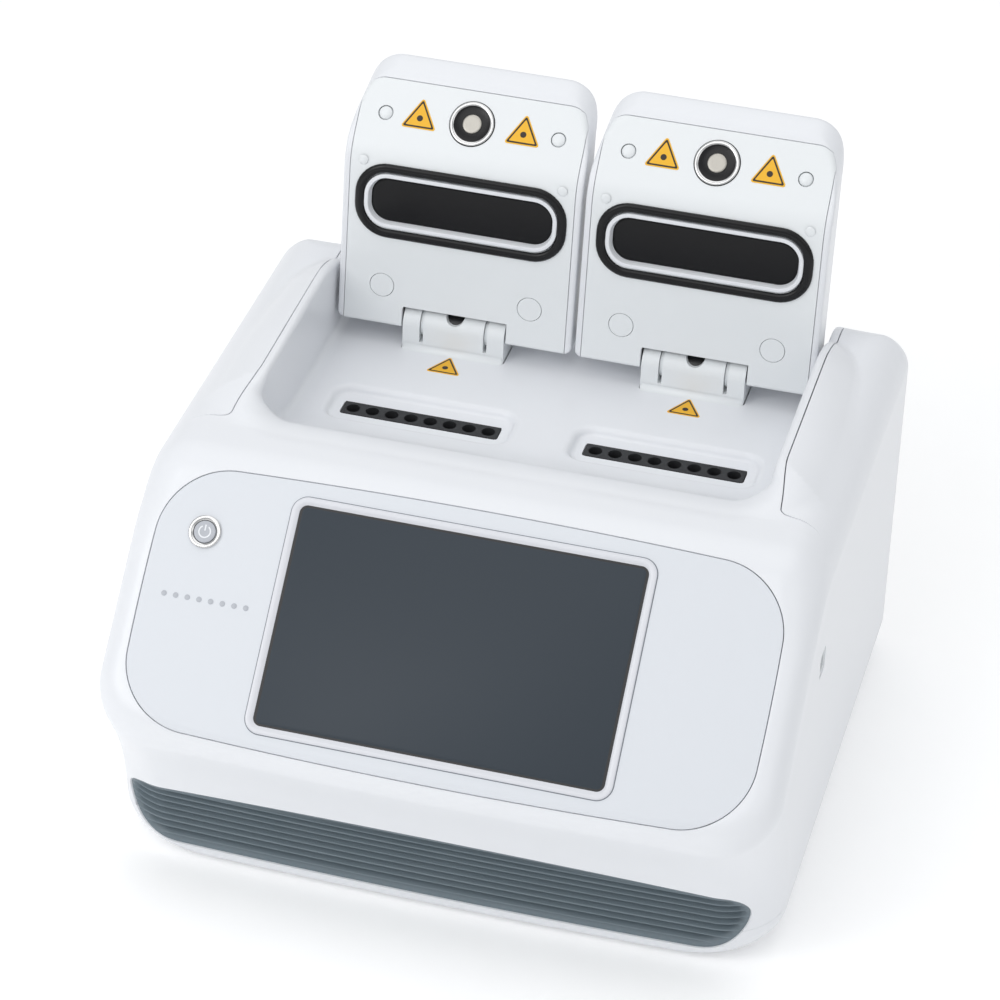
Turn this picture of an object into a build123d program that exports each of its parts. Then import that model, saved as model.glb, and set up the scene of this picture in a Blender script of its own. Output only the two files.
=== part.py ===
"""Two-lane bench-top thermal cycler with a separate hinged lid over each eight-well block.

Frame: millimetres, +X to the user's right, +Y to the back, +Z up.  The origin lies on the bench,
under the middle of the machine.  Both lids are drawn closed and then turned open for storage.
"""
import os
from math import cos, radians, sin, sqrt, tan

from build123d import *

os.makedirs("parts", exist_ok=True)

# ---- driving dimensions -------------------------------------------------------------------
GAP = 0.3                  # clearance kept between separate pieces
WALL = 3.0                 # moulded wall of the housing
WELL_PITCH = 9.0           # standard tube-strip pitch
WELL_COUNT = 8
LANE_X = 56.15             # each block and lid is centred this far from the middle
LANES = {"left": -LANE_X, "right": LANE_X}
BLOCK_Y = 43.0

HALF_WIDTH = 148.5
REAR_Y = 138.0
BASE_Z = 3.0               # underside of the lower housing, above the bench
PARTING_Z = 20.0           # joint between the lower and upper housing
SHOULDER_Z = 184.5         # top of the two side shoulders
SHOULDER_R = 31.0
REAR_TOP_R = 45.0
FLOOR_Z = 144.5            # sunken deck between the shoulders
BLOCK_TOP_Z = 141.0

# front profile, bottom to top
TOE_Y = -118.0
KNEE_Y = -123.5
KNEE_Z = 46.0
NOSE_Y = -147.4
NOSE_Z = 86.6
PANEL_TILT = 44.3          # degrees from level
HOOD_Z = 174.5
FRONT_CORNER_R = 34.0
REAR_CORNER_R = 14.0
FRONT_BOW = 3.0

# deck liner
LINER_HALF = 117.4
TROUGH_HALF = 113.2
SHEET = 2.5
RAMP_FOOT_Y = 35.0
RAMP_BEND_R = 50.0
RAMP_ANGLE = radians(35.0)
RAMP_TOP_OF_BEND_Y = RAMP_FOOT_Y - RAMP_BEND_R * sin(RAMP_ANGLE)
RAMP_TOP_OF_BEND_Z = FLOOR_Z + RAMP_BEND_R * (1 - cos(RAMP_ANGLE))
CREASE_R = 3.0             # inner corner between the deck and its side walls
HOOD_EDGE_Y = RAMP_TOP_OF_BEND_Y - (HOOD_Z - RAMP_TOP_OF_BEND_Z) / tan(RAMP_ANGLE)

# opening in the deck for each block
STRIP_SIZE = (72.6, 9.4)
STRIP_CLEARANCE = 0.4
POCKET_SIZE = (83.0, 22.8)
POCKET_R = 6.0
POCKET_Y = 43.9
PAN_SIZE = (88.0, 27.0)    # thickened deck that carries the pocket
PAN_R = 8.0
PAN_DEPTH = 4.0

# lids, dimensions in the closed position
HINGE_Y = 102.0
HINGE_Z = 155.2
OPEN_ANGLE = 97.6
LID_HALF = 55.3
LID_FACE_Z = 147.4         # flat inner face
LID_BEND_Y = 21.0
LID_SLOPE = radians(35.4)
LID_NOSE_Y = -11.0
LID_FRONT_Y = -16.5
LID_DRAFT = tan(radians(4))
CROWN_MARGIN = 0.6         # the rounded front view passes this far above the flat top
LID_REAR_Y = 105.0
LID_TOP_Z = 184.0
LID_RIM = 3.1
SADDLE_HALF = 23.9
SADDLE_FRONT_Y = 93.7
SADDLE_BACK_Y = 109.5
SADDLE_R = 8.0             # rounded top, about the hinge
PIN_R = 2.5
LABEL_SIDE = 16.6
DECK_LABEL_SIDE = 16.2
LABEL_SHEET = 0.25

# control panel, in its own tilted plane
PANEL_ORIGIN = (0.0, -141.4, 92.4)
PANEL_CENTRE_V = 55.6
PANEL_SIZE = (272.6, 117.8)
PANEL_CORNER_R = 29.0
PANEL_BOW = (1.6, 3.4)     # how far the sides swell across and along the slope
BEZEL_SIZE = (158.8, 102.6)
GLASS_SIZE = (151.4, 95.8)
BUTTON_AT = (-114.4, 84.3)
BUTTON_R = 7.2


# ---- helpers ------------------------------------------------------------------------------
def save(name, *solids):
    """Write one named node, made of one or more separate solids."""
    shape = solids[0] if len(solids) == 1 else Compound(children=list(solids))
    export_step(shape, f"parts/{name}.step")


def box(x0, x1, y0, y1, z0, z1):
    """Axis-aligned block between two corners."""
    return Pos((x0 + x1) / 2, (y0 + y1) / 2, (z0 + z1) / 2) * Box(x1 - x0, y1 - y0, z1 - z0)


def prism_x(outline, x0, x1):
    """Extrude a closed (Y, Z) outline along X."""
    face = Plane.YZ.offset(x0) * make_face(outline)
    return extrude(face, x1 - x0, dir=(1, 0, 0))


def prism_y(outline, y0, y1):
    """Extrude a closed (X, Z) outline along Y."""
    face = Plane.XZ.offset(-y0) * make_face(outline)
    return extrude(face, y1 - y0, dir=(0, 1, 0))


def prism_z(sketch, z0, z1):
    """Extrude an (X, Y) sketch upwards between two heights."""
    return extrude(Plane.XY.offset(z0) * sketch, z1 - z0)


def bar_x(radius, x0, x1, y, z):
    """Round bar along X."""
    return Pos((x0 + x1) / 2, y, z) * Rot(0, 90, 0) * Cylinder(radius, x1 - x0)


def bar_y(radius, y0, y1, x, z):
    """Round bar along Y."""
    return Pos(x, (y0 + y1) / 2, z) * Rot(90, 0, 0) * Cylinder(radius, y1 - y0)


def bar_z(radius, z0, z1, x, y):
    """Round bar along Z."""
    return Pos(x, y, (z0 + z1) / 2) * Cylinder(radius, z1 - z0)


def bowed_rectangle(width, height, corner, bow_x, bow_y):
    """Rectangle whose four sides swell slightly outwards, with rounded corners."""
    a, b = width / 2, height / 2
    corners = [(-a + bow_x, -b + bow_y), (a - bow_x, -b + bow_y), (a - bow_x, b - bow_y), (-a + bow_x, b - bow_y)]
    crowns = [(0, -b), (a, 0), (0, b), (-a, 0)]
    sides = [
        ThreePointArc(corners[i], crowns[i], corners[(i + 1) % 4])
        for i in range(4)
    ]
    face = make_face(sides)
    return fillet(face.vertices(), corner)


def plan_outline(front_y, corner, inset=0.0):
    """Housing seen from above: bowed front edge, round front corners, tighter rear corners."""
    a = HALF_WIDTH - inset
    front = front_y + inset
    rear = REAR_Y - inset
    side = front + FRONT_BOW
    sketch = make_face(
        [
            ThreePointArc((-a, side), (0, front), (a, side)),
            Line((a, side), (a, rear)),
            Line((a, rear), (-a, rear)),
            Line((-a, rear), (-a, side)),
        ]
    )
    front_corners = sketch.vertices().sort_by(Axis.Y)[:2]
    sketch = fillet(front_corners, corner - inset)
    rear_corners = sketch.vertices().sort_by(Axis.Y)[-2:]
    return fillet(rear_corners, REAR_CORNER_R - inset)


def housing_solid(inset=0.0):
    """Outer form of the whole housing, shrunk inwards by inset on every side."""
    slope = tan(radians(PANEL_TILT))
    lean = inset / cos(radians(PANEL_TILT))
    bottom = BASE_Z + inset
    lower = loft(
        [
            Plane.XY.offset(bottom) * plan_outline(TOE_Y, FRONT_CORNER_R, inset),
            Plane.XY.offset(KNEE_Z) * plan_outline(KNEE_Y, FRONT_CORNER_R, inset),
        ],
        ruled=True,
    )
    middle = loft(
        [
            Plane.XY.offset(KNEE_Z) * plan_outline(KNEE_Y, FRONT_CORNER_R, inset),
            Plane.XY.offset(NOSE_Z) * plan_outline(NOSE_Y, FRONT_CORNER_R, inset),
        ],
        ruled=True,
    )
    upper = prism_z(plan_outline(NOSE_Y, FRONT_CORNER_R, inset), NOSE_Z, SHOULDER_Z)
    body = lower + middle + upper

    nose = (NOSE_Y - 20, NOSE_Z - 20 * slope - lean)
    hood = (NOSE_Y + (HOOD_Z - inset - NOSE_Z + lean) / slope, HOOD_Z - inset)
    step = (HOOD_EDGE_Y - 4, HOOD_Z - 2 - inset)
    crown = (2.0, SHOULDER_Z - 2.5 - inset)
    crest = (REAR_Y - REAR_TOP_R, SHOULDER_Z - inset)
    rear_arc_mid = (
        REAR_Y - REAR_TOP_R + (REAR_TOP_R - inset) * sin(radians(45)),
        SHOULDER_Z - REAR_TOP_R + (REAR_TOP_R - inset) * cos(radians(45)),
    )
    rear = (REAR_Y - inset, SHOULDER_Z - REAR_TOP_R)
    profile = [
        Line((NOSE_Y - 20, bottom), nose),
        Line(nose, hood),
        Line(hood, step),
        ThreePointArc(step, (HOOD_EDGE_Y + 8, SHOULDER_Z - 4.9 - inset), crown),
        Line(crown, crest),
        ThreePointArc(crest, rear_arc_mid, rear),
        Line(rear, (REAR_Y - inset, bottom)),
        Line((REAR_Y - inset, bottom), (NOSE_Y - 20, bottom)),
    ]
    body = body & prism_x(profile, -HALF_WIDTH, HALF_WIDTH)

    shoulder = SHOULDER_R - inset
    half = HALF_WIDTH - inset
    top = SHOULDER_Z - inset
    diagonal = shoulder * (1 - cos(radians(45)))
    front_view = [
        Line((-half, bottom), (-half, top - shoulder)),
        ThreePointArc((-half, top - shoulder), (-half + diagonal, top - diagonal), (-half + shoulder, top)),
        Line((-half + shoulder, top), (half - shoulder, top)),
        ThreePointArc((half - shoulder, top), (half - diagonal, top - diagonal), (half, top - shoulder)),
        Line((half, top - shoulder), (half, bottom)),
        Line((half, bottom), (-half, bottom)),
    ]
    return body & prism_y(front_view, -200, 200)


def trough_profile(drop):
    """Side view of the space above the deck; drop moves its lower edge down through the sheet."""
    reach = 40.0
    radius = RAMP_BEND_R + drop
    centre_z = FLOOR_Z + RAMP_BEND_R
    foot = (RAMP_FOOT_Y, centre_z - radius)
    middle = (RAMP_FOOT_Y - radius * sin(RAMP_ANGLE / 2), centre_z - radius * cos(RAMP_ANGLE / 2))
    bend_end = (RAMP_FOOT_Y - radius * sin(RAMP_ANGLE), centre_z - radius * cos(RAMP_ANGLE))
    ramp_end = (bend_end[0] - reach, bend_end[1] + reach * tan(RAMP_ANGLE))
    sky = SHOULDER_Z + reach
    back = REAR_Y + reach
    return [
        Line((back, foot[1]), foot),
        ThreePointArc(foot, middle, bend_end),
        Line(bend_end, ramp_end),
        Line(ramp_end, (ramp_end[0], sky)),
        Line((ramp_end[0], sky), (back, sky)),
        Line((back, sky), (back, foot[1])),
    ]


def rounded(width, height, corner):
    """Rounded rectangle sketch about its own centre."""
    return RectangleRounded(width, height, corner)


def label_triangle(side):
    """Upright equilateral label with softened corners, apex towards local +Y."""
    sketch = Rot(0, 0, 30) * RegularPolygon(side / sqrt(3), 3)
    apex_up = max(sketch.vertices(), key=lambda v: v.Y)
    if abs(apex_up.X) > 0.1:
        sketch = Rot(0, 0, 60) * sketch
    return extrude(fillet(sketch.vertices(), 0.9), LABEL_SHEET)


# ---- planes used by tilted pieces ---------------------------------------------------------
TILT = radians(PANEL_TILT)
PANEL_PLANE = Plane(PANEL_ORIGIN, x_dir=(1, 0, 0), z_dir=(0, -sin(TILT), cos(TILT)))
LID_FLAT = Plane((0, 0, LID_FACE_Z), x_dir=(1, 0, 0), z_dir=(0, 0, -1))
LID_TILTED = Plane((0, LID_BEND_Y, LID_FACE_Z), x_dir=(1, 0, 0), z_dir=(0, -sin(LID_SLOPE), -cos(LID_SLOPE)))


def on_panel(sketch, low, high, x=0.0, v=PANEL_CENTRE_V):
    """Extrude a sketch square to the sloping control panel, between two heights above it."""
    return PANEL_PLANE * Pos(x, v, low) * extrude(sketch, high - low)


# ---- housing ------------------------------------------------------------------------------
VENT_LOW_Z = 8.0
VENT_END_Z = 42.5
VENT_CROWN_Z = 46.5
VENT_HALF = 137.2
VENT_CORNER_X = 121.0
RIB_COUNT = 10


def vent_opening(margin):
    """Front view of the air intake: straight foot, gently arched top and round ends."""
    low = VENT_LOW_Z + margin
    end = VENT_END_Z - margin
    corner = VENT_CORNER_X
    tip = VENT_HALF - margin
    outline = [
        Line((-corner, low), (corner, low)),
        ThreePointArc((corner, low), (tip, (low + end) / 2), (corner, end)),
        ThreePointArc((corner, end), (0, VENT_CROWN_Z - margin), (-corner, end)),
        ThreePointArc((-corner, end), (-tip, (low + end) / 2), (-corner, low)),
    ]
    return prism_y(outline, -175, -95)


PORT_Y = -51.0
PORT_Z = 120.0
PORT_SIZE = (11.0, 12.0)
REAR_OPENING = (122.0, 22.0, 124.0)
PANEL_DEPTH = 1.8
SCREEN_WINDOW = (168.0, 108.0)
FEET_AT = [(x, y) for x in (-120, 120) for y in (-85, 115)]
BOARD_Z = 14.0
BOARD_POSTS = [(x, y) for x in (20, 122) for y in (-14, 94)]


def make_housing():
    outer = housing_solid()
    shell = outer - housing_solid(WALL)
    half, low, high = REAR_OPENING
    port_w, port_h = PORT_SIZE
    shell -= prism_x(trough_profile(SHEET + GAP), -LINER_HALF - GAP, LINER_HALF + GAP)
    shell -= on_panel(bowed_rectangle(*PANEL_SIZE, PANEL_CORNER_R, *PANEL_BOW), -PANEL_DEPTH, 20)
    shell -= on_panel(rounded(*SCREEN_WINDOW, 4), -30, 20)
    shell -= on_panel(Circle(6.5), -30, 20, *BUTTON_AT)
    shell -= vent_opening(0)
    shell -= box(-half, half, REAR_Y - 2 * WALL, REAR_Y + 5, low, high)
    shell -= box(
        HALF_WIDTH - 2 * WALL, HALF_WIDTH + 5, PORT_Y - port_w / 2, PORT_Y + port_w / 2,
        PORT_Z - port_h / 2, PORT_Z + port_h / 2,
    )
    upper = shell & box(-200, 200, -200, 200, PARTING_Z + GAP / 2, 300)
    lower = shell & box(-200, 200, -200, 200, 0, PARTING_Z - GAP / 2)
    for x, y in FEET_AT:
        lower -= bar_z(2.2, 0, 10, x, y)
    for x, y in BOARD_POSTS:
        lower += bar_z(3, BASE_Z + WALL - 0.5, BOARD_Z, x, y)
    save("upper_housing", upper)
    save("lower_housing", lower)

    block = prism_x(trough_profile(SHEET), -LINER_HALF, LINER_HALF) & outer
    trough = prism_x(trough_profile(0), -TROUGH_HALF, TROUGH_HALF)
    creases = [e for e in trough.edges() if abs(abs(e.center().X) - TROUGH_HALF) < 0.01]
    creases = [e for e in creases if e.center().Z < SHOULDER_Z and e.center().Y < REAR_Y + 10]
    liner = block - fillet(creases, CREASE_R)
    pan = prism_z(rounded(*PAN_SIZE, PAN_R), BLOCK_TOP_Z - SHEET, BLOCK_TOP_Z - SHEET + PAN_DEPTH)
    pocket = prism_z(rounded(*POCKET_SIZE, POCKET_R), BLOCK_TOP_Z, BLOCK_TOP_Z + 20)
    half_length = STRIP_SIZE[0] / 2 + STRIP_CLEARANCE
    half_width = STRIP_SIZE[1] / 2 + STRIP_CLEARANCE
    for lane in LANES.values():
        liner += Pos(lane, POCKET_Y, 0) * pan
    for lane in LANES.values():
        liner -= Pos(lane, POCKET_Y, 0) * pocket
        liner -= box(lane - half_length, lane + half_length, BLOCK_Y - half_width, BLOCK_Y + half_width, 130, 150)
        liner -= box(lane - SADDLE_HALF - GAP, lane + SADDLE_HALF + GAP, SADDLE_FRONT_Y - GAP,
                     SADDLE_BACK_Y + 1.0, 130, 150)
    save("deck_liner", liner)


def make_grille():
    opening = vent_opening(0.4)
    skin = (housing_solid(1.4) - housing_solid(3.6)) & opening
    backing = (housing_solid(3.3) - housing_solid(5.4)) & opening
    pitch = (VENT_CROWN_Z - VENT_LOW_Z) / RIB_COUNT
    for index in range(1, RIB_COUNT):
        z = VENT_LOW_Z + index * pitch
        skin -= box(-VENT_HALF + 3, VENT_HALF - 3, -160, -90, z - 0.8, z + 0.8)
    posts = [backing & box(x - 1.5, x + 1.5, -160, -90, 0, 60) for x in range(-120, 121, 40)]
    grille = skin
    for post in posts:
        grille += post
    save("front_grille", grille)


# ---- sample blocks and cooling ------------------------------------------------------------
FOOT_PLATE_HALF = (42.0, 21.0)
STRIP_FOOT_Z = 127.0
PLATE_FOOT_Z = 121.0
PELTIER_FOOT_Z = 117.4
PELTIER_HALF = 20.0
PELTIER_SPREAD = 20.6
SINK_BASE_Z = 109.4
SINK_FOOT_Z = 66.0
SINK_HALF = 46.0
SINK_Y = (8, 78)
FIN_COUNT = 12
FIN_PITCH = 8.1
FIN_HALF = 0.9
WELL_R = 3.1
WELL_DEPTH = 9.0
WELL_TIP_DEPTH = 13.5
WELL_TIP_R = 1.2
STRIKE_Y = -2.0
STRIKE_PLATE = (24, 20, 1.6)


def make_block(side, lane):
    length, width = STRIP_SIZE
    block = box(lane - length / 2, lane + length / 2, BLOCK_Y - width / 2, BLOCK_Y + width / 2,
                STRIP_FOOT_Z - 1, BLOCK_TOP_Z)
    reach_x, reach_y = FOOT_PLATE_HALF
    block += box(lane - reach_x, lane + reach_x, BLOCK_Y - reach_y, BLOCK_Y + reach_y, PLATE_FOOT_Z, STRIP_FOOT_Z)
    taper = WELL_TIP_DEPTH - WELL_DEPTH
    for index in range(WELL_COUNT):
        x = lane + (index - (WELL_COUNT - 1) / 2) * WELL_PITCH
        block -= bar_z(WELL_R, BLOCK_TOP_Z - WELL_DEPTH, BLOCK_TOP_Z + 1, x, BLOCK_Y)
        cone = Cone(WELL_TIP_R, WELL_R, taper)
        block -= Pos(x, BLOCK_Y, BLOCK_TOP_Z - WELL_DEPTH - taper / 2) * cone
    save(f"sample_block_{side}", block)

    cooler = box(-PELTIER_HALF, PELTIER_HALF, BLOCK_Y - PELTIER_HALF, BLOCK_Y + PELTIER_HALF,
                 PELTIER_FOOT_Z, PLATE_FOOT_Z)
    coolers = [Pos(lane + offset, 0, 0) * cooler for offset in (-PELTIER_SPREAD, PELTIER_SPREAD)]
    save(f"peltier_modules_{side}", *coolers)

    sink = box(lane - SINK_HALF, lane + SINK_HALF, *SINK_Y, SINK_BASE_Z, PELTIER_FOOT_Z)
    for index in range(FIN_COUNT):
        x = lane - SINK_HALF + 1.3 + index * FIN_PITCH
        sink += box(x - FIN_HALF, x + FIN_HALF, *SINK_Y, SINK_FOOT_Z, SINK_BASE_Z + 0.5)
    save(f"heat_sink_{side}", sink)


def make_seals():
    length, width = STRIP_SIZE
    seals = []
    for lane in LANES.values():
        ring = extrude(Plane.XY.offset(STRIP_FOOT_Z) * rounded(length + 9, width + 9, 3),
                       BLOCK_TOP_Z - SHEET - STRIP_FOOT_Z)
        ring -= box(-length / 2, length / 2, -width / 2, width / 2, 100, 150)
        seals.append(Pos(lane, BLOCK_Y, 0) * ring)
    save("block_seals", *seals)


def make_strike_plates():
    rise = (RAMP_FOOT_Y - RAMP_BEND_R * sin(RAMP_ANGLE) - STRIKE_Y) * tan(RAMP_ANGLE)
    ramp = Plane((0, STRIKE_Y, RAMP_TOP_OF_BEND_Z + rise), x_dir=(1, 0, 0),
                 z_dir=(0, sin(RAMP_ANGLE), cos(RAMP_ANGLE)))
    plates = [ramp * Pos(lane, 0, -SHEET - 0.9) * Box(*STRIKE_PLATE) for lane in LANES.values()]
    save("strike_plates", *plates)


# ---- control panel ------------------------------------------------------------------------
BEZEL_R = 7.0
BEZEL_RISE = 0.9
GLASS_TOP = 0.2
PANEL_DROP = 0.2           # the panel sits this far below the housing round it


def make_panel():
    width, height = PANEL_SIZE
    outline = bowed_rectangle(width - 2 * GAP, height - 2 * GAP, PANEL_CORNER_R - GAP, *PANEL_BOW)
    panel = on_panel(outline, -PANEL_DEPTH, -PANEL_DROP)
    width, height = BEZEL_SIZE
    panel -= on_panel(rounded(width + 2 * GAP, height + 2 * GAP, BEZEL_R + GAP), -5, 5)
    panel -= on_panel(Circle(6.4), -5, 5, *BUTTON_AT)
    save("control_panel", panel)

    bezel = on_panel(rounded(*BEZEL_SIZE, BEZEL_R), -PANEL_DEPTH, BEZEL_RISE)
    bezel -= on_panel(rounded(GLASS_SIZE[0] + 0.4, GLASS_SIZE[1] + 0.4, 3.2), -5, 5)
    save("screen_bezel", bezel)
    save("screen_glass", on_panel(rounded(*GLASS_SIZE, 3.0), GLASS_TOP - 1.6, GLASS_TOP))
    save("lcd_module", on_panel(rounded(160, 100, 2), -9.5, GLASS_TOP - 2.2))


def make_power_button():
    barrel = on_panel(Circle(6.1), -24, 0, *BUTTON_AT)
    barrel += on_panel(Circle(BUTTON_R), -0.2, 1.2, *BUTTON_AT)
    barrel -= on_panel(Circle(5.3), -12, 5, *BUTTON_AT)
    save("power_button_body", barrel)
    save("power_button_cap", on_panel(Circle(5.0), -10.5, 0.9, *BUTTON_AT))
    nut = on_panel(RegularPolygon(9, 6), -WALL - 4.5, -WALL - 1.2, *BUTTON_AT)
    save("power_button_nut", nut - on_panel(Circle(6.1), -30, 5, *BUTTON_AT))


# ---- rear panel and mains -----------------------------------------------------------------
FAN_X = 45.0
FAN_Z = 86.0
FAN_FRONT_Y = 112.0
FAN_BACK_Y = 132.0
INLET_X = -92.0
SWITCH_X = -50.0
MAINS_Z = 41.0
PLATE_FRONT_Y = 135.4
PLATE_BACK_Y = 137.4
SCREWS_REAR = [(x, z) for x in (-114, 114) for z in (31, 115)]
GUARD_R = 28.0
GUARD_RINGS = (9, 16, 23)
GUARD_WIRE = 0.9
BLADES = 7
FAN_BORE_R = 28.5
FAN_SIZE = 60
ROCKER_Y = 136.0
ROCKER_LEAN = -8.0         # degrees off level when off


def make_rear_panel():
    half, low, high = REAR_OPENING
    plate = box(-half + GAP, half - GAP, PLATE_FRONT_Y, PLATE_BACK_Y, low + GAP, high - GAP)
    for x in (-FAN_X, FAN_X):
        window = bar_y(GUARD_R, PLATE_FRONT_Y - 1, PLATE_BACK_Y + 1, x, FAN_Z)
        for radius in GUARD_RINGS:
            ring = bar_y(radius + GUARD_WIRE, PLATE_FRONT_Y, PLATE_BACK_Y, x, FAN_Z)
            window -= ring - bar_y(radius - GUARD_WIRE, PLATE_FRONT_Y - 1, PLATE_BACK_Y + 1, x, FAN_Z)
        for angle in (45, 135):
            spoke = Pos(x, (PLATE_FRONT_Y + PLATE_BACK_Y) / 2, FAN_Z) * Rot(0, angle, 0) * Box(60, 2, 2.4)
            window -= spoke
        plate -= window
    plate -= box(INLET_X - 13.8, INLET_X + 13.8, 130, 140, MAINS_Z - 14.3, MAINS_Z + 14.3)
    plate -= box(SWITCH_X - 10.0, SWITCH_X + 10.0, 130, 140, MAINS_Z - 6.8, MAINS_Z + 6.8)
    for x, z in SCREWS_REAR:
        plate -= bar_y(1.7, 130, 140, x, z)
    save("rear_panel", plate)


def make_screws():
    screws = []
    for x, z in SCREWS_REAR:
        screw = bar_y(1.5, PLATE_FRONT_Y - 8, PLATE_BACK_Y, x, z)
        screw += bar_y(3, PLATE_BACK_Y, PLATE_BACK_Y + 1.8, x, z)
        screws.append(screw - box(x - 2.2, x + 2.2, PLATE_BACK_Y + 0.8, PLATE_BACK_Y + 3, z - 0.4, z + 0.4))
    save("panel_screws", *screws)


def make_fan(side, x):
    depth = FAN_BACK_Y - FAN_FRONT_Y
    middle = (FAN_FRONT_Y + FAN_BACK_Y) / 2
    frame = Pos(x, middle, FAN_Z) * Rot(90, 0, 0) * extrude(rounded(FAN_SIZE, FAN_SIZE, 4), depth / 2, both=True)
    frame -= bar_y(FAN_BORE_R, FAN_FRONT_Y - 1, FAN_BACK_Y + 1, x, FAN_Z)
    for angle in (0, 90):
        frame += Pos(x, FAN_FRONT_Y + 1.2, FAN_Z) * Rot(0, angle + 45, 0) * Box(58, 2.4, 4)
    frame += bar_y(11, FAN_FRONT_Y, FAN_FRONT_Y + 6, x, FAN_Z)
    frame -= bar_y(1.55, FAN_FRONT_Y + 1, FAN_BACK_Y, x, FAN_Z)
    save(f"fan_frame_{side}", frame)

    rotor = bar_y(14, FAN_FRONT_Y + 7, FAN_BACK_Y - 1, x, FAN_Z)
    blade = Pos(0, 0, 19.5) * Rot(0, 0, 35) * Box(1.6, 13, 14)
    for index in range(BLADES):
        rotor += Pos(x, middle + 2.5, FAN_Z) * Rot(0, index * 360 / BLADES, 0) * blade
    rotor += bar_y(1.5, FAN_FRONT_Y + 1.5, FAN_FRONT_Y + 8, x, FAN_Z)
    save(f"fan_rotor_{side}", rotor)


def make_mains():
    face = PLATE_BACK_Y + 2.0
    inlet = box(INLET_X - 13.5, INLET_X + 13.5, 116, PLATE_BACK_Y, MAINS_Z - 14, MAINS_Z + 14)
    inlet += box(INLET_X - 16, INLET_X + 16, PLATE_BACK_Y, face, MAINS_Z - 16.5, MAINS_Z + 16.5)
    inlet -= box(INLET_X - 12, INLET_X + 12, 121, face + 1, MAINS_Z - 3.5, MAINS_Z + 12.5)
    for dx, dz in ((-7, 3), (0, 6), (7, 3)):
        inlet += box(INLET_X + dx - 1, INLET_X + dx + 1, 120.5, 131, MAINS_Z + dz - 2, MAINS_Z + dz + 2)
    inlet -= box(INLET_X - 10, INLET_X + 10, 119, face + 1, MAINS_Z - 13, MAINS_Z - 5)
    save("mains_inlet", inlet)
    drawer = box(INLET_X - 9.7, INLET_X + 9.7, 122, face + 0.6, MAINS_Z - 12.7, MAINS_Z - 5.3)
    drawer -= box(INLET_X - 8, INLET_X + 8, 124, face - 3, MAINS_Z - 11.2, MAINS_Z - 4)
    drawer -= box(INLET_X - 4, INLET_X + 4, face - 0.6, face + 1, MAINS_Z - 12.9, MAINS_Z - 11.4)
    save("fuse_drawer", drawer)

    frame = box(SWITCH_X - 9.7, SWITCH_X + 9.7, 118, PLATE_BACK_Y, MAINS_Z - 6.5, MAINS_Z + 6.5)
    frame += box(SWITCH_X - 11.5, SWITCH_X + 11.5, PLATE_BACK_Y, face, MAINS_Z - 8.3, MAINS_Z + 8.3)
    frame -= box(SWITCH_X - 8.3, SWITCH_X + 8.3, 124, face + 1, MAINS_Z - 5.3, MAINS_Z + 5.3)
    frame -= bar_z(1.05, MAINS_Z - 6.4, MAINS_Z + 6.4, SWITCH_X, ROCKER_Y)
    save("mains_switch_frame", frame)
    side_view = Polyline((-7.9, 0), (-7.0, 3.4), (0, 1.6), (7.0, 3.4), (7.9, 0), (4.5, -6), (-4.5, -6), close=True)
    rocker = extrude(make_face(side_view), 5.0, both=True)
    rocker += bar_z(1.0, -6.2, 6.2, 0, 0)
    rocker = Pos(SWITCH_X, ROCKER_Y, MAINS_Z) * Rot(0, 0, ROCKER_LEAN) * rocker
    save("mains_switch_rocker", rocker)


# ---- inside the case ----------------------------------------------------------------------
def make_electronics():
    supply = box(-118, -12, 30, 108, 10, 52) - box(-116.5, -13.5, 31.5, 106.5, 11.5, 50.5)
    for index in range(9):
        supply -= box(-106 + index * 10, -102 + index * 10, 40, 98, 50, 53)
    supply += box(-112, -18, 36, 100, 11, 18)
    for x, y, height in ((-98, 52, 38), (-78, 84, 36), (-50, 60, 34), (-34, 86, 30)):
        supply += bar_z(8, 17, 17 + height * 0.7, x, y)
    save("power_supply", supply)

    board = box(14, 128, -20, 100, BOARD_Z, BOARD_Z + 1.6)
    for x, y, w, d, h in ((45, 20, 26, 26, 3), (90, 30, 14, 20, 2.5), (110, 80, 12, 30, 12), (40, 75, 40, 16, 9)):
        board += box(x - w / 2, x + w / 2, y - d / 2, y + d / 2, 15, 15.6 + h)
    save("control_board", board)


def make_port():
    w, h = PORT_SIZE
    x = HALF_WIDTH
    outer_y, outer_z = w / 2 - GAP, h / 2 - GAP
    inner_y, inner_z = w / 2 - 1.6, h / 2 - 1.9
    port = box(x - 14, x - 0.5, PORT_Y - outer_y, PORT_Y + outer_y, PORT_Z - outer_z, PORT_Z + outer_z)
    port -= box(x - 12, x + 1, PORT_Y - inner_y, PORT_Y + inner_y, PORT_Z - inner_z, PORT_Z + inner_z)
    port += box(x - 12.5, x - 6.5, PORT_Y - 2.2, PORT_Y + 2.2, PORT_Z - 1.5, PORT_Z + 1.5)
    save("data_port", port)


def make_feet():
    feet = []
    for x, y in FEET_AT:
        stem = bar_z(2.0, BASE_Z - 0.5, BASE_Z + WALL + 1.5, x, y)
        feet.append(bar_z(9, 0, BASE_Z, x, y) + stem)
    save("feet", *feet)


# ---- lids ---------------------------------------------------------------------------------
def lid_plan(inset, corner, z0=130.0, z1=200.0):
    """Lid seen from above: round front corners, small rear corners."""
    half = LID_HALF - inset
    front = LID_FRONT_Y + inset
    rear = LID_REAR_Y + 4
    sketch = Pos(0, (front + rear) / 2) * Rectangle(2 * half, rear - front)
    front_corners = sketch.vertices().sort_by(Axis.Y)[:2]
    return prism_z(fillet(front_corners, corner), z0, z1)


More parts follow.
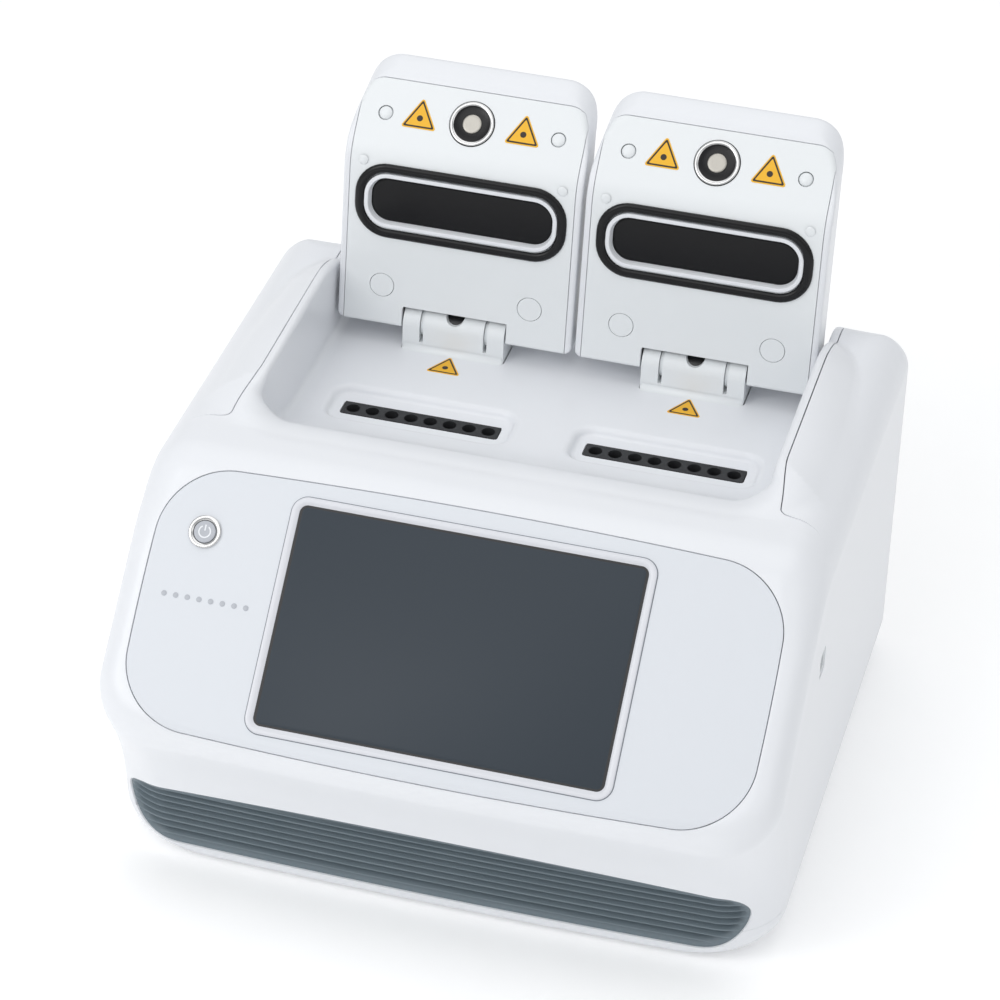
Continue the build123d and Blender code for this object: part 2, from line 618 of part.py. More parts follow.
def lid_side(inset, face_drop=0.0):
    """Side profile of a closed lid, shrunk inwards by inset except along its inner face."""
    rise = tan(LID_SLOPE)
    face = LID_FACE_Z - face_drop
    nose_y = LID_NOSE_Y + inset
    nose_z = face + (LID_BEND_Y - nose_y) * rise
    top = LID_TOP_Z - inset
    rear = LID_REAR_Y - inset
    lip_y = LID_FRONT_Y + 0.6 + inset
    return [
        Line((rear, face), (LID_BEND_Y, face)),
        Line((LID_BEND_Y, face), (nose_y, nose_z)),
        Line((nose_y, nose_z), (lip_y, top - 5)),
        ThreePointArc((lip_y, top - 5), (lip_y + 1.5, top - 1.5), (lip_y + 5, top)),
        Line((lip_y + 5, top), (rear - 14, top)),
        ThreePointArc((rear - 14, top), (rear - 4.1, top - 4.1), (rear, top - 14)),
        Line((rear, top - 14), (rear, face)),
    ]


def lid_form(inset, face_drop=0.0):
    """Solid form of a closed lid about x = 0."""
    half = LID_HALF - inset
    top = LID_TOP_Z - inset + CROWN_MARGIN
    radius = 12.0 - inset
    foot = half + LID_DRAFT * (LID_FACE_Z + 2 - 130)
    shoulder = half - LID_DRAFT * (top - radius - LID_FACE_Z - 2)
    diagonal = radius * (1 - cos(radians(45)))
    front_view = [
        Line((-foot, 130), (-shoulder, top - radius)),
        ThreePointArc((-shoulder, top - radius), (-shoulder + diagonal, top - diagonal), (-shoulder + radius, top)),
        Line((-shoulder + radius, top), (shoulder - radius, top)),
        ThreePointArc((shoulder - radius, top), (shoulder - diagonal, top - diagonal), (shoulder, top - radius)),
        Line((shoulder, top - radius), (foot, 130)),
        Line((foot, 130), (-foot, 130)),
    ]
    form = prism_y(front_view, -200, 200) & prism_x(lid_side(inset, face_drop), -LID_HALF - 5, LID_HALF + 5)
    return form & lid_plan(inset, 14.0 - inset)


def face_strip(top, bottom):
    """Bent layer lying between two depths behind the lid's inner face."""
    rise = tan(LID_SLOPE)
    nose = LID_NOSE_Y - 20
    rear = LID_REAR_Y + 20
    climb = (LID_BEND_Y - nose) * rise
    outline = Polyline(
        (rear, LID_FACE_Z + bottom), (LID_BEND_Y, LID_FACE_Z + bottom), (nose, LID_FACE_Z + bottom + climb),
        (nose, LID_FACE_Z + top + climb), (LID_BEND_Y, LID_FACE_Z + top), (rear, LID_FACE_Z + top), close=True,
    )
    return prism_x(outline, -LID_HALF - 5, LID_HALF + 5)


def on_flat(sketch, low, high, x=0.0, y=0.0):
    """Extrude a sketch outwards from the lid's flat inner face; positive heights stand proud."""
    return LID_FLAT * Pos(x, -y, low) * extrude(sketch, high - low)


def on_slope(sketch, low, high, x=0.0, v=0.0):
    """The same from the lid's sloping inner face; v runs up the slope from the bend."""
    return LID_TILTED * Pos(x, v, low) * extrude(sketch, high - low)


PANEL_SHEET = 2.4
GASKET_SIZE = (98.6, 36.0)
GASKET_R = 15.5
COLLAR_SIZE = (89.6, 26.0)
COLLAR_R = 11.0
HEATER_SIZE = (84.6, 21.2)
HEATER_R = 8.6
HEATER_Y = 42.6
GASKET_RISE = 1.5
MAGNET_V = 20.5
MAGNET_R = 10.15
MAGNET_BORE_R = 8.4
POLE_R = 4.25
BUMPER_X, BUMPER_V, BUMPER_R = 40.1, 19.6, 3.1
PAD_X, PAD_Y, PAD_R = 46.2, 24.6, 2.3
CAP_X, CAP_Y, CAP_R = 34.8, 84.3, 5.5
LABEL_X, LABEL_V = 24.0, 19.3
DAMPER_R = 6.0
ARM_X = 15.1
ARM_THICKNESS = 1.2
ARM_KNUCKLE_R = 5.5
ARM_ROOT_Y = 72.0
NOTCH_Y = 93.4


def place_lid(shape, lane):
    """Swing a piece of a closed lid open about the hinge and move it to its lane."""
    hinge = Axis((0, HINGE_Y, HINGE_Z), (1, 0, 0))
    return Pos(lane, 0, 0) * shape.rotate(hinge, -OPEN_ANGLE)


def saddle_space():
    """Room kept clear around the hinge saddle for every angle of the lid."""
    half = SADDLE_HALF + 0.5
    return box(-half, half, NOTCH_Y, LID_REAR_Y + 10, 130, HINGE_Z + 9.4)


def make_lid(side, lane):
    def save_open(name, *shapes):
        save(f"{name}_{side}", *[place_lid(shape, lane) for shape in shapes])

    cover = lid_form(0) - lid_form(LID_RIM - 0.2, 10.0) - saddle_space()
    save_open("lid_cover", cover)

    collar_width, collar_height = COLLAR_SIZE
    heater_width, heater_height = HEATER_SIZE
    panel = lid_form(LID_RIM, 10.0) & face_strip(PANEL_SHEET, 0)
    panel -= on_flat(rounded(collar_width + 0.4, collar_height + 0.4, COLLAR_R + 0.2), -20, 5, 0, HEATER_Y)
    panel -= on_slope(Circle(MAGNET_R + 0.15), -20, 5, 0, MAGNET_V)
    for x in (-BUMPER_X, BUMPER_X):
        panel -= on_slope(Circle(BUMPER_R + GAP), -20, 5, x, BUMPER_V)
    for x in (-CAP_X, CAP_X):
        panel -= on_flat(Circle(CAP_R + 0.15), -20, 5, x, CAP_Y)
    panel -= saddle_space()
    save_open("lid_inner_panel", panel)

    gasket = on_flat(rounded(*GASKET_SIZE, GASKET_R), 0, GASKET_RISE, 0, HEATER_Y)
    gasket -= on_flat(rounded(collar_width + 0.6, collar_height + 0.6, COLLAR_R + 0.3), -5, 5, 0, HEATER_Y)
    save_open("lid_gasket", gasket)
    collar = on_flat(rounded(*COLLAR_SIZE, COLLAR_R), -9, 0.9, 0, HEATER_Y)
    collar -= on_flat(rounded(heater_width + 0.4, heater_height + 0.4, HEATER_R + 0.2), -20, 5, 0, HEATER_Y)
    save_open("lid_collar", collar)
    save_open("heater_plate", on_flat(rounded(*HEATER_SIZE, HEATER_R), -9, -2.0, 0, HEATER_Y))

    cup = on_slope(Circle(MAGNET_R), -7, 0.7, 0, MAGNET_V)
    cup -= on_slope(Circle(MAGNET_BORE_R), -5, 5, 0, MAGNET_V)
    save_open("magnet_cup", cup)
    core = on_slope(Circle(MAGNET_BORE_R - 0.05), -5, -0.6, 0, MAGNET_V)
    core += on_slope(Circle(POLE_R), -4.5, 0.2, 0, MAGNET_V)
    save_open("magnet_core", core)

    bumpers = [on_slope(Circle(BUMPER_R), -3, 0.3, x, BUMPER_V) for x in (-BUMPER_X, BUMPER_X)]
    bumpers += [on_flat(Circle(PAD_R), 0, 0.5, x, PAD_Y) for x in (-PAD_X, PAD_X)]
    bumpers += [on_flat(Circle(CAP_R), -PANEL_SHEET, 0.0, x, CAP_Y) for x in (-CAP_X, CAP_X)]
    save_open("lid_bumpers", *bumpers)
    labels = [LID_TILTED * Pos(x, LABEL_V, 0) * label_triangle(LABEL_SIDE) for x in (-LABEL_X, LABEL_X)]
    save_open("lid_labels", *labels)

    half = ARM_THICKNESS / 2
    bore = PIN_R + 0.05
    root_z = LID_FACE_Z + PANEL_SHEET
    side_view = Polyline(
        (ARM_ROOT_Y, root_z), (ARM_ROOT_Y, 158), (HINGE_Y, HINGE_Z + ARM_KNUCKLE_R), (HINGE_Y, HINGE_Z - 3),
        (NOTCH_Y - 2, root_z), close=True,
    )
    arms = []
    for x in (-ARM_X, ARM_X):
        arm = bar_x(ARM_KNUCKLE_R, x - half, x + half, HINGE_Y, HINGE_Z)
        arm += prism_x(side_view, x - half, x + half)
        arms.append(arm - bar_x(bore, x - 5, x + 5, HINGE_Y, HINGE_Z))
    save_open("hinge_arms", *arms)


def make_saddle(side, lane):
    base = FLOOR_Z - SHEET
    front = HINGE_Y - SADDLE_R
    back = HINGE_Y + SADDLE_R
    outline = [
        Line((SADDLE_FRONT_Y, base), (SADDLE_FRONT_Y, FLOOR_Z)),
        Line((SADDLE_FRONT_Y, FLOOR_Z), (front, HINGE_Z)),
        ThreePointArc((front, HINGE_Z), (HINGE_Y, HINGE_Z + SADDLE_R), (back, HINGE_Z)),
        Line((back, HINGE_Z), (back, base)),
        Line((back, base), (SADDLE_FRONT_Y, base)),
    ]
    saddle = prism_x(outline, -SADDLE_HALF, SADDLE_HALF)
    slot = ARM_THICKNESS / 2 + GAP
    for x in (-ARM_X, ARM_X):
        saddle -= box(x - slot, x + slot, 80, 120, HINGE_Z - 7.0, HINGE_Z + 20)
    saddle -= bar_x(PIN_R + 0.05, -22.2, 22.2, HINGE_Y, HINGE_Z)
    saddle -= bar_x(DAMPER_R + 0.4, -6.2, 6.2, HINGE_Y, HINGE_Z)
    saddle -= bar_y(4.4, 80, 120, 0, HINGE_Z + SADDLE_R)
    save(f"hinge_saddle_{side}", Pos(lane, 0, 0) * saddle)
    save(f"hinge_pin_{side}", Pos(lane, 0, 0) * bar_x(PIN_R, -22, 22, HINGE_Y, HINGE_Z))
    damper = bar_x(DAMPER_R, -5.8, 5.8, HINGE_Y, HINGE_Z) - bar_x(PIN_R, -7, 7, HINGE_Y, HINGE_Z)
    save(f"hinge_damper_{side}", Pos(lane, 0, 0) * damper)


DECK_LABEL_Y = 82.0


def make_deck_labels():
    labels = [Pos(lane, DECK_LABEL_Y, FLOOR_Z) * label_triangle(DECK_LABEL_SIDE) for lane in LANES.values()]
    save("deck_labels", *labels)


make_housing()
make_grille()
make_seals()
make_strike_plates()
make_panel()
make_power_button()
make_rear_panel()
make_screws()
make_mains()
make_electronics()
make_port()
make_feet()
make_deck_labels()
for lane_name, lane_x in LANES.items():
    make_block(lane_name, lane_x)
    make_fan(lane_name, FAN_X if lane_x > 0 else -FAN_X)
    make_lid(lane_name, lane_x)
    make_saddle(lane_name, lane_x)
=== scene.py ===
"""Looks of a bench-top thermal cycler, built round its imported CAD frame. Fields are in millimetres."""
from math import cos, pi, radians, sin, tan

import bmesh
import bpy
import numpy as np
from mathutils import Matrix, Vector


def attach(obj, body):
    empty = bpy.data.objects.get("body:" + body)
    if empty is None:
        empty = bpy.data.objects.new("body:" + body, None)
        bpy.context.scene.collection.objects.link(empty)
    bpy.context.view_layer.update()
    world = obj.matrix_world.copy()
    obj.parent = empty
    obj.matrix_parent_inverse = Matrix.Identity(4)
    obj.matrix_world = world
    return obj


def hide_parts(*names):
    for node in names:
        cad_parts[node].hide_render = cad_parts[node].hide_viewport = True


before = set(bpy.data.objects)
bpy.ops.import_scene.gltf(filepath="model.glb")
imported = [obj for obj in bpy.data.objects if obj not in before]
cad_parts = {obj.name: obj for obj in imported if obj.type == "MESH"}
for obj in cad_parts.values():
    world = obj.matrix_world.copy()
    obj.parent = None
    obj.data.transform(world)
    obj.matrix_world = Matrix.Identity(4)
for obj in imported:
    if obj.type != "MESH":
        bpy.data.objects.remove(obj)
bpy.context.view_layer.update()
MM = 0.001

# ---- sizes shared with the CAD model (mm) --------------------------------------------------
HALF_WIDTH = 148.48  # a hair less than the CAD's, so that nothing stands proud of it
REAR_Y = 138.0
BASE_Z = 3.0
PARTING_Z = 20.0
TOE_Y = -118.0
KNEE_Y, KNEE_Z = -123.5, 46.0
KNEE_BEND = 10.0
NOSE_Y, NOSE_Z = -147.4, 86.6
FRONT_BOW = 3.0
TILT = radians(44.3)
HOOD_Z = 174.5
SHOULDER_Z = 184.0
FLOOR_Z = 144.5
POCKET_Z = 141.0
RAMP = radians(35.0)
RAMP_FOOT_Y = 19.0
TROUGH_HALF = 113.2
SEAM_HALF = 117.4
LANES = {"left": -56.15, "right": 56.15}
PANEL_ORIGIN = (0.0, -141.4, 92.4)
PANEL_MIDDLE = 55.6
PANEL_SIZE = (272.8, 118.0)
PANEL_CORNER = 29.0
PANEL_SWELL = (1.6, 3.4)
POCKET_Y = 42.4
POCKET_SIZE = (83.0, 25.0)
BLOCK_Y = 43.0
BLOCK_SIZE = (73.0, 9.8)
SADDLE_Y = 101.6
SADDLE_SIZE = (48.2, 17.4)
REAR_PANEL_Z = 73.0
REAR_PANEL_SIZE = (244.0, 102.0)
PORT_Y, PORT_Z = -51.0, 120.0
PORT_SIZE = (10.6, 11.6)
HINGE_Y, HINGE_Z = 102.0, 155.2
OPEN_ANGLE = radians(-97.6)
LID_HALF = 55.3
LID_FACE_Z = 147.4
LID_BEND_Y = 21.0
LID_SLOPE = radians(35.4)
LID_NOSE_Y = -11.0
LID_REAR_Y = 105.0
LID_TOP_Z = 183.95
LID_RIM = 3.0
LID_DRAFT = tan(radians(4))


# ---- fields: negative inside, in millimetres -----------------------------------------------
def fillet_and(a, b, radius):
    """Space inside both, its edge rounded to a radius. For faces that meet near a right angle."""
    rounded = np.hypot(np.maximum(a + radius, 0), np.maximum(b + radius, 0))
    return np.minimum(np.maximum(a, b), -radius) + rounded


def fillet_or(a, b, radius):
    """Space inside either, its inner corner rounded to a radius."""
    return -fillet_and(-a, -b, radius)


def bend_and(a, b, width):
    """Space inside both, its edge bent softly. For faces that meet at a blunt angle."""
    blend = np.maximum(width - np.abs(a - b), 0) / width
    return np.maximum(a, b) + blend * blend * width / 4


def bend_or(a, b, width):
    """Space inside either, with a soft bend where the two meet."""
    return -bend_and(-a, -b, width)


def ease(value, low, high):
    """0 below low, 1 above high and smooth between."""
    t = np.clip((value - low) / (high - low), 0, 1)
    return t * t * (3 - 2 * t)


def line_field(u, v, start, end):
    """Distance from a line through two points, positive on the right of its direction."""
    du, dv = end[0] - start[0], end[1] - start[1]
    length = np.hypot(du, dv)
    return ((u - start[0]) * dv - (v - start[1]) * du) / length


def round_rectangle(u, v, width, height, corner):
    """Flat rounded rectangle about the origin of its own plane."""
    return fillet_and(np.abs(u) - width / 2, np.abs(v) - height / 2, corner)


def ellipse_field(u, v, a, b):
    """Nearly the distance from an ellipse about the origin."""
    k0 = np.sqrt((u / a) ** 2 + (v / b) ** 2) + 1e-9
    k1 = np.sqrt((u / a**2) ** 2 + (v / b**2) ** 2) + 1e-9
    return k0 * (k0 - 1) / k1


# ---- housing form --------------------------------------------------------------------------
FRONT_CORNER, REAR_CORNER = 27.0, 14.0
POD_NOSE = (20.0, 148.0)
POD_NOSE_SIZE = (75.0, 35.5)
POD_BACK, POD_EDGE = 58.0, 32.0
FOOT_ROLL = 14.0
SWEEP_START, SWEEP_RUN = 121.2, 22.5


def front_field(x, y, z):
    """Space behind the front: a near-upright foot and the overhang above it."""
    bow = FRONT_BOW * (x / HALF_WIDTH) ** 2
    foot = line_field(y - bow, z, (TOE_Y, BASE_Z), (KNEE_Y, KNEE_Z)) * -1
    overhang = line_field(y - bow, z, (KNEE_Y, KNEE_Z), (NOSE_Y, NOSE_Z)) * -1
    return bend_or(foot, overhang, KNEE_BEND)


def slope_field(y, z):
    """Space under the plane of the control panel."""
    return -(y - PANEL_ORIGIN[1]) * sin(TILT) + (z - PANEL_ORIGIN[2]) * cos(TILT)


def main_body(x, y, z):
    """Base, nose, sloping front and hood."""
    side = np.abs(x) - HALF_WIDTH
    plan = fillet_and(side, y - REAR_Y, REAR_CORNER)
    plan = fillet_and(plan, front_field(x, y, z), FRONT_CORNER)
    cap = bend_and(slope_field(y, z), z - HOOD_Z, 7.0)
    edge = 9.0 + 3.0 * ease(np.abs(x), 90, 130) + 8.0 * ease(z, 140, 172)
    return fillet_and(plan, cap, edge)


def pod_body(x, y, z):
    """Long raised shoulders either side of the deck, as one bar the deck is cut from."""
    rise = 1.6 * (1 - ease(y, -10, 100))
    side = np.abs(x) - HALF_WIDTH
    tilt = 0.12 + 0.3 * ease(y, 20, 110)
    flat = z - SHOULDER_Z + rise + tilt * np.maximum(np.abs(x) - TROUGH_HALF - 3, 0)
    nose = ellipse_field(y - POD_NOSE[0], z - POD_NOSE[1], *POD_NOSE_SIZE)
    section = np.where(y < POD_NOSE[0], nose, z - POD_NOSE[1] - POD_NOSE_SIZE[1])
    section = np.maximum(section, flat)
    back = fillet_and(section, y - REAR_Y, POD_BACK)
    return fillet_and(fillet_and(side, y - REAR_Y, REAR_CORNER), back, POD_EDGE)


def deck_air(x, y, z):
    """Open space over the deck: flat floor, curved ramp up to the hood and upright walls."""
    floor = FLOOR_Z - z
    ramp = (RAMP_FOOT_Y - y) * sin(RAMP) - (z - FLOOR_Z) * cos(RAMP)
    profile = bend_and(floor, ramp, 9.5)
    wall = np.abs(x) - TROUGH_HALF
    return fillet_and(profile, wall, 3.0 + 13.0 * ease(-y, 0, 15))


def pocket_air(x, y, z):
    """Shallow pocket round each sample block."""
    air = 1e3
    for lane in LANES.values():
        outline = round_rectangle(x - lane, y - POCKET_Y, *POCKET_SIZE, 7.5)
        air = np.minimum(air, fillet_and(outline, POCKET_Z - z, 1.6))
    return air


def housing(x, y, z):
    """The whole closed shell, deck and all."""
    hull = fillet_and(np.abs(x) - HALF_WIDTH, y - REAR_Y, REAR_CORNER)
    body = np.maximum(fillet_or(main_body(x, y, z), pod_body(x, y, z), 1.5), hull)
    air = fillet_or(deck_air(x, y, z), pocket_air(x, y, z), 3.0)
    body = fillet_and(body, -air, 2.2 + 7.0 * (1 - ease(y, -22, 2)))
    return fillet_and(body, BASE_Z - z, 1.6 + FOOT_ROLL * ease(np.abs(x), 106, 146))


def seam_trim(x, y, z):
    """Positive outside the shoulder seams, which run forward and then sweep out round the hood."""
    reach = np.abs(x)
    along = reach - SEAM_HALF - 3.8 * (1 - ease(y, -28, 6))
    sweep = np.clip((reach - SWEEP_START) / SWEEP_RUN, 0, 1)
    beyond = np.maximum(reach - SWEEP_START - SWEEP_RUN, 0)
    across = y + 27.5 + 11.0 * (1 - np.sqrt(1 - 0.98 * sweep * sweep)) + 8 * beyond
    return fillet_or(along, across, 3.0)


# ---- turning a field into a sheet ----------------------------------------------------------
def surface_net(field, low, high, step):
    """Four-sided faces over the zero surface of a field, one point in each cell it crosses."""
    axes = [np.arange(a - 1.5 * step, b + 2.5 * step, step) for a, b in zip(low, high)]
    value = field(*np.meshgrid(*axes, indexing="ij", sparse=True))
    size = np.array(value.shape)
    cells = size - 1
    count = np.zeros(cells.prod())
    total = np.zeros((cells.prod(), 3))
    quads = []
    for axis in range(3):
        first = tuple(slice(None, -1) if k == axis else slice(None) for k in range(3))
        second = tuple(slice(1, None) if k == axis else slice(None) for k in range(3))
        a, b = value[first], value[second]
        u, v = [k for k in range(3) if k != axis]
        where = np.argwhere((a < 0) != (b < 0))
        inner = (where[:, u] > 0) & (where[:, v] > 0)
        inner &= (where[:, u] < cells[u]) & (where[:, v] < cells[v])
        where = where[inner]
        value_a, value_b = a[tuple(where.T)], b[tuple(where.T)]
        point = where.astype(float)
        point[:, axis] += value_a / (value_a - value_b)
        ring = []
        for du, dv in ((0, 0), (1, 0), (1, 1), (0, 1)):
            cell = where.copy()
            cell[:, u] -= du
            cell[:, v] -= dv
            index = np.ravel_multi_index(cell.T, cells)
            ring.append(index)
            count += np.bincount(index, minlength=len(count))
            for k in range(3):
                total[:, k] += np.bincount(index, weights=point[:, k], minlength=len(count))
        quad = np.stack(ring, 1)
        outward = (value_a < 0) if axis != 1 else (value_a >= 0)
        quad[~outward] = quad[~outward][:, ::-1]
        quads.append(quad)
    used = np.flatnonzero(count)
    number = np.full(len(count), -1)
    number[used] = np.arange(len(used))
    origin = np.array([axis[0] for axis in axes])
    points = origin + step * total[used] / count[used, None]
    return points, number[np.concatenate(quads)]


def gradient(field, points, reach=0.02):
    """Slope of a field at points, by central differences."""
    slope = np.empty_like(points)
    for k in range(3):
        shift = np.zeros(3)
        shift[k] = reach
        slope[:, k] = field(*(points + shift).T) - field(*(points - shift).T)
    return slope / (2 * reach)


def settle(points, field, rounds=4, limit=1.0):
    """Move points along the field's slope onto its zero surface."""
    for _ in range(rounds):
        slope = gradient(field, points)
        move = (field(*points.T) / np.maximum((slope**2).sum(1), 0.05))[:, None] * slope
        points = points - np.clip(move, -limit, limit)
    return points


def unit(vectors):
    """Vectors scaled to length one."""
    return vectors / np.maximum(np.linalg.norm(vectors, axis=1), 1e-9)[:, None]


class Net:
    """A closed surface cut into regions by trim fields, whose borders lie exactly on the trims."""

    def __init__(self, field, low, high, step, trims):
        points, quads = surface_net(field, low, high, step)
        points = settle(points, field)
        centre = points[quads].mean(1)
        self.side = {name: trim(*centre.T) > 0 for name, trim in trims.items()}
        border = {}
        for name in trims:
            seen = np.zeros((2, len(points)), bool)
            for value in (False, True):
                seen[int(value), quads[self.side[name] == value].ravel()] = True
            border[name] = np.flatnonzero(seen.all(0))
        for _ in range(8):
            for name, trim in trims.items():
                chosen = border[name]
                if not len(chosen):
                    continue
                p = points[chosen]
                normal = unit(gradient(field, p))
                slope = gradient(trim, p)
                slope -= (slope * normal).sum(1)[:, None] * normal
                size = np.maximum((slope**2).sum(1), 0.04)
                move = (trim(*p.T) / size)[:, None] * slope
                points[chosen] = settle(p - np.clip(move, -step, step), field, 1)
        self.points, self.quads = points, quads
        self.normals = unit(gradient(field, points))

    def piece(self, name, keep, gap=0.0, curl=0.3, depth=2.2, lane=None):
        """Mesh of the chosen faces; its open borders curl inwards like a moulded edge.
        gap is how far a border is pulled back: a number, or a function of the points."""
        quads = self.quads[keep]
        used = np.unique(quads)
        number = np.full(len(self.points), -1)
        number[used] = np.arange(len(used))
        quads = number[quads]
        points, normals = self.points[used].copy(), self.normals[used]
        edges = np.concatenate([quads[:, [k, (k + 1) % 4]] for k in range(4)])
        code = edges[:, 0] * len(used) + edges[:, 1]
        twin = edges[:, 1] * len(used) + edges[:, 0]
        edges = edges[~np.isin(code, twin)]
        out = np.zeros_like(points)
        away = unit(np.cross(points[edges[:, 1]] - points[edges[:, 0]], normals[edges].mean(1)))
        for k in range(2):
            np.add.at(out, edges[:, k], away)
        rim = np.unique(edges)
        direction = unit(out[rim])
        pull = gap(*points[rim].T)[:, None] if callable(gap) else gap
        turn = curl * ease(pull, 0, 0.05) + 0.01 if callable(gap) else curl
        points[rim] -= direction * (turn + pull)
        first = points[rim] + direction * turn - normals[rim] * turn
        second = first - normals[rim] * depth
        place = np.full(len(used), -1)
        place[rim] = np.arange(len(rim)) + len(used)
        a, b = edges[:, 0], edges[:, 1]
        wall = np.stack([b, a, place[a], place[b]], 1)
        skirt = np.stack([place[b], place[a], place[a] + len(rim), place[b] + len(rim)], 1)
        points = np.concatenate([points, first, second])
        normals = np.concatenate([normals, direction, direction])
        if lane is not None:
            points, normals = swing(points, lane), turn_open(normals)
        return mesh_piece(name, points, np.concatenate([quads, wall, skirt]), normals)


def mesh_piece(name, points, faces, normals=None):
    """Blender object from points in millimetres, smooth shaded."""
    mesh = bpy.data.meshes.new(name)
    mesh.from_pydata((np.asarray(points) * MM).tolist(), [], [list(map(int, f)) for f in faces])
    mesh.polygons.foreach_set("use_smooth", [True] * len(mesh.polygons))
    mesh.update()
    if normals is not None:
        mesh.normals_split_custom_set_from_vertices(normals.tolist())
    piece = bpy.data.objects.new(name, mesh)
    bpy.context.scene.collection.objects.link(piece)
    return piece


# ---- materials -----------------------------------------------------------------------------
def surface(name, dark, light, rough, spots=40.0, grain=2500.0, bump=0.02, metal=0.0,
            coat=0.0, pale_edges=0.0, shine=0.5):
    """Procedural material: two close colours, uneven gloss, fine grain and paler convex edges."""
    material = bpy.data.materials.new(name)
    material.use_nodes = True
    tree = material.node_tree
    shader = tree.nodes["Principled BSDF"]
    shader.inputs["Metallic"].default_value = metal
    shader.inputs["Specular IOR Level"].default_value = shine
    shader.inputs["Coat Weight"].default_value = coat
    shader.inputs["Coat Roughness"].default_value = 0.12
    place = tree.nodes.new("ShaderNodeTexCoord")

    patches = tree.nodes.new("ShaderNodeTexNoise")
    patches.inputs["Scale"].default_value = spots
    patches.inputs["Detail"].default_value = 4.0
    tree.links.new(place.outputs["Object"], patches.inputs["Vector"])
    tint = tree.nodes.new("ShaderNodeMix")
    tint.data_type = "RGBA"
    tint.inputs["A"].default_value = (*dark, 1)
    tint.inputs["B"].default_value = (*light, 1)
    tree.links.new(patches.outputs["Fac"], tint.inputs["Factor"])
    colour = tint.outputs["Result"]
    # Convex edges are mixed towards a paler colour; on the grille this is a painted highlight along the
    # rib crests.
    if pale_edges:
        shape = tree.nodes.new("ShaderNodeNewGeometry")
        edge = tree.nodes.new("ShaderNodeMapRange")
        edge.inputs["From Min"].default_value = 0.52
        edge.inputs["From Max"].default_value = 0.6
        edge.inputs["To Max"].default_value = pale_edges
        tree.links.new(shape.outputs["Pointiness"], edge.inputs["Value"])
        paled = tree.nodes.new("ShaderNodeMix")
        paled.data_type = "RGBA"
        paled.inputs["B"].default_value = (*[min(1.0, c * 1.6 + 0.04) for c in light], 1)
        tree.links.new(edge.outputs["Result"], paled.inputs["Factor"])
        tree.links.new(colour, paled.inputs["A"])
        colour = paled.outputs["Result"]
    tree.links.new(colour, shader.inputs["Base Color"])

    gloss = tree.nodes.new("ShaderNodeMapRange")
    gloss.inputs["To Min"].default_value = rough * 0.85
    gloss.inputs["To Max"].default_value = min(1.0, rough * 1.2)
    tree.links.new(patches.outputs["Fac"], gloss.inputs["Value"])
    tree.links.new(gloss.outputs["Result"], shader.inputs["Roughness"])

    texture = tree.nodes.new("ShaderNodeTexNoise")
    texture.inputs["Scale"].default_value = grain
    texture.inputs["Detail"].default_value = 3.0
    tree.links.new(place.outputs["Object"], texture.inputs["Vector"])
    relief = tree.nodes.new("ShaderNodeBump")
    relief.inputs["Strength"].default_value = bump
    relief.inputs["Distance"].default_value = 0.0002
    tree.links.new(texture.outputs["Fac"], relief.inputs["Height"])
    tree.links.new(relief.outputs["Normal"], shader.inputs["Normal"])
    return material


WHITE = surface("case_white", (0.775, 0.79, 0.82), (0.795, 0.81, 0.84), 0.36, bump=0.03, coat=0.1)
DECK = surface("deck_white", (0.78, 0.805, 0.82), (0.80, 0.825, 0.84), 0.4, bump=0.03, coat=0.05)
PANEL = surface("panel_white", (0.69, 0.715, 0.755), (0.71, 0.735, 0.775),
                0.5, grain=5000, bump=0.08)
SILVER = surface("bezel_silver", (0.66, 0.67, 0.71), (0.69, 0.70, 0.74), 0.3, bump=0.02, coat=0.2)
GLASS = surface("screen_dark", (0.034, 0.044, 0.056), (0.038, 0.049, 0.062),
                0.5, spots=8, bump=0.0, shine=0.3)
# Grille: its paler convex edges are a painted highlight along the rib crests.
GRILLE = surface("grille_grey", (0.134, 0.173, 0.198), (0.154, 0.192, 0.218),
                 0.45, bump=0.1, pale_edges=0.35)
SLATE = surface("block_grey", (0.022, 0.023, 0.025), (0.030, 0.031, 0.034),
                0.5, bump=0.08, pale_edges=0.1, shine=0.3)
RUBBER = surface("gasket_black", (0.004, 0.004, 0.005), (0.008, 0.008, 0.009),
                 0.25, bump=0.1, shine=0.3)
PLATE = surface("plate_black", (0.003, 0.003, 0.004), (0.005, 0.005, 0.006),
                0.2, bump=0.02, shine=0.25)
BLACK = surface("black_plastic", (0.008, 0.008, 0.009), (0.016, 0.016, 0.018),
                0.4, bump=0.1, pale_edges=0.1)
STEEL = surface("steel_satin", (0.50, 0.50, 0.50), (0.62, 0.61, 0.60), 0.28, metal=1.0, bump=0.05)
CHROME = surface("steel_bright", (0.60, 0.60, 0.60), (0.66, 0.655, 0.65),
                 0.16, metal=1.0, bump=0.01)
WARM = surface("magnet_steel", (0.42, 0.40, 0.36), (0.50, 0.48, 0.44), 0.4, metal=1.0, bump=0.08)
SHEET = surface("sheet_steel", (0.50, 0.52, 0.54), (0.55, 0.57, 0.59), 0.5, bump=0.15)
SINK = surface("sink_metal", (0.55, 0.56, 0.57), (0.62, 0.63, 0.64), 0.4, metal=1.0)
CAP = surface("button_grey", (0.42, 0.44, 0.48), (0.47, 0.49, 0.53), 0.35)
MARK = surface("button_mark", (0.75, 0.77, 0.8), (0.8, 0.82, 0.85), 0.4)
FEET = surface("foot_rubber", (0.02, 0.02, 0.022), (0.03, 0.03, 0.032), 0.8, bump=0.3)
YELLOW = surface("label_yellow", (0.82, 0.43, 0.012), (0.88, 0.48, 0.018), 0.45)
INK = surface("label_ink", (0.02, 0.013, 0.01), (0.03, 0.02, 0.012), 0.5)
BOARD = surface("board_green", (0.01, 0.09, 0.04), (0.02, 0.13, 0.06), 0.4)
JOINT = surface("joint_grey", (0.20, 0.22, 0.25), (0.24, 0.26, 0.29), 0.7)
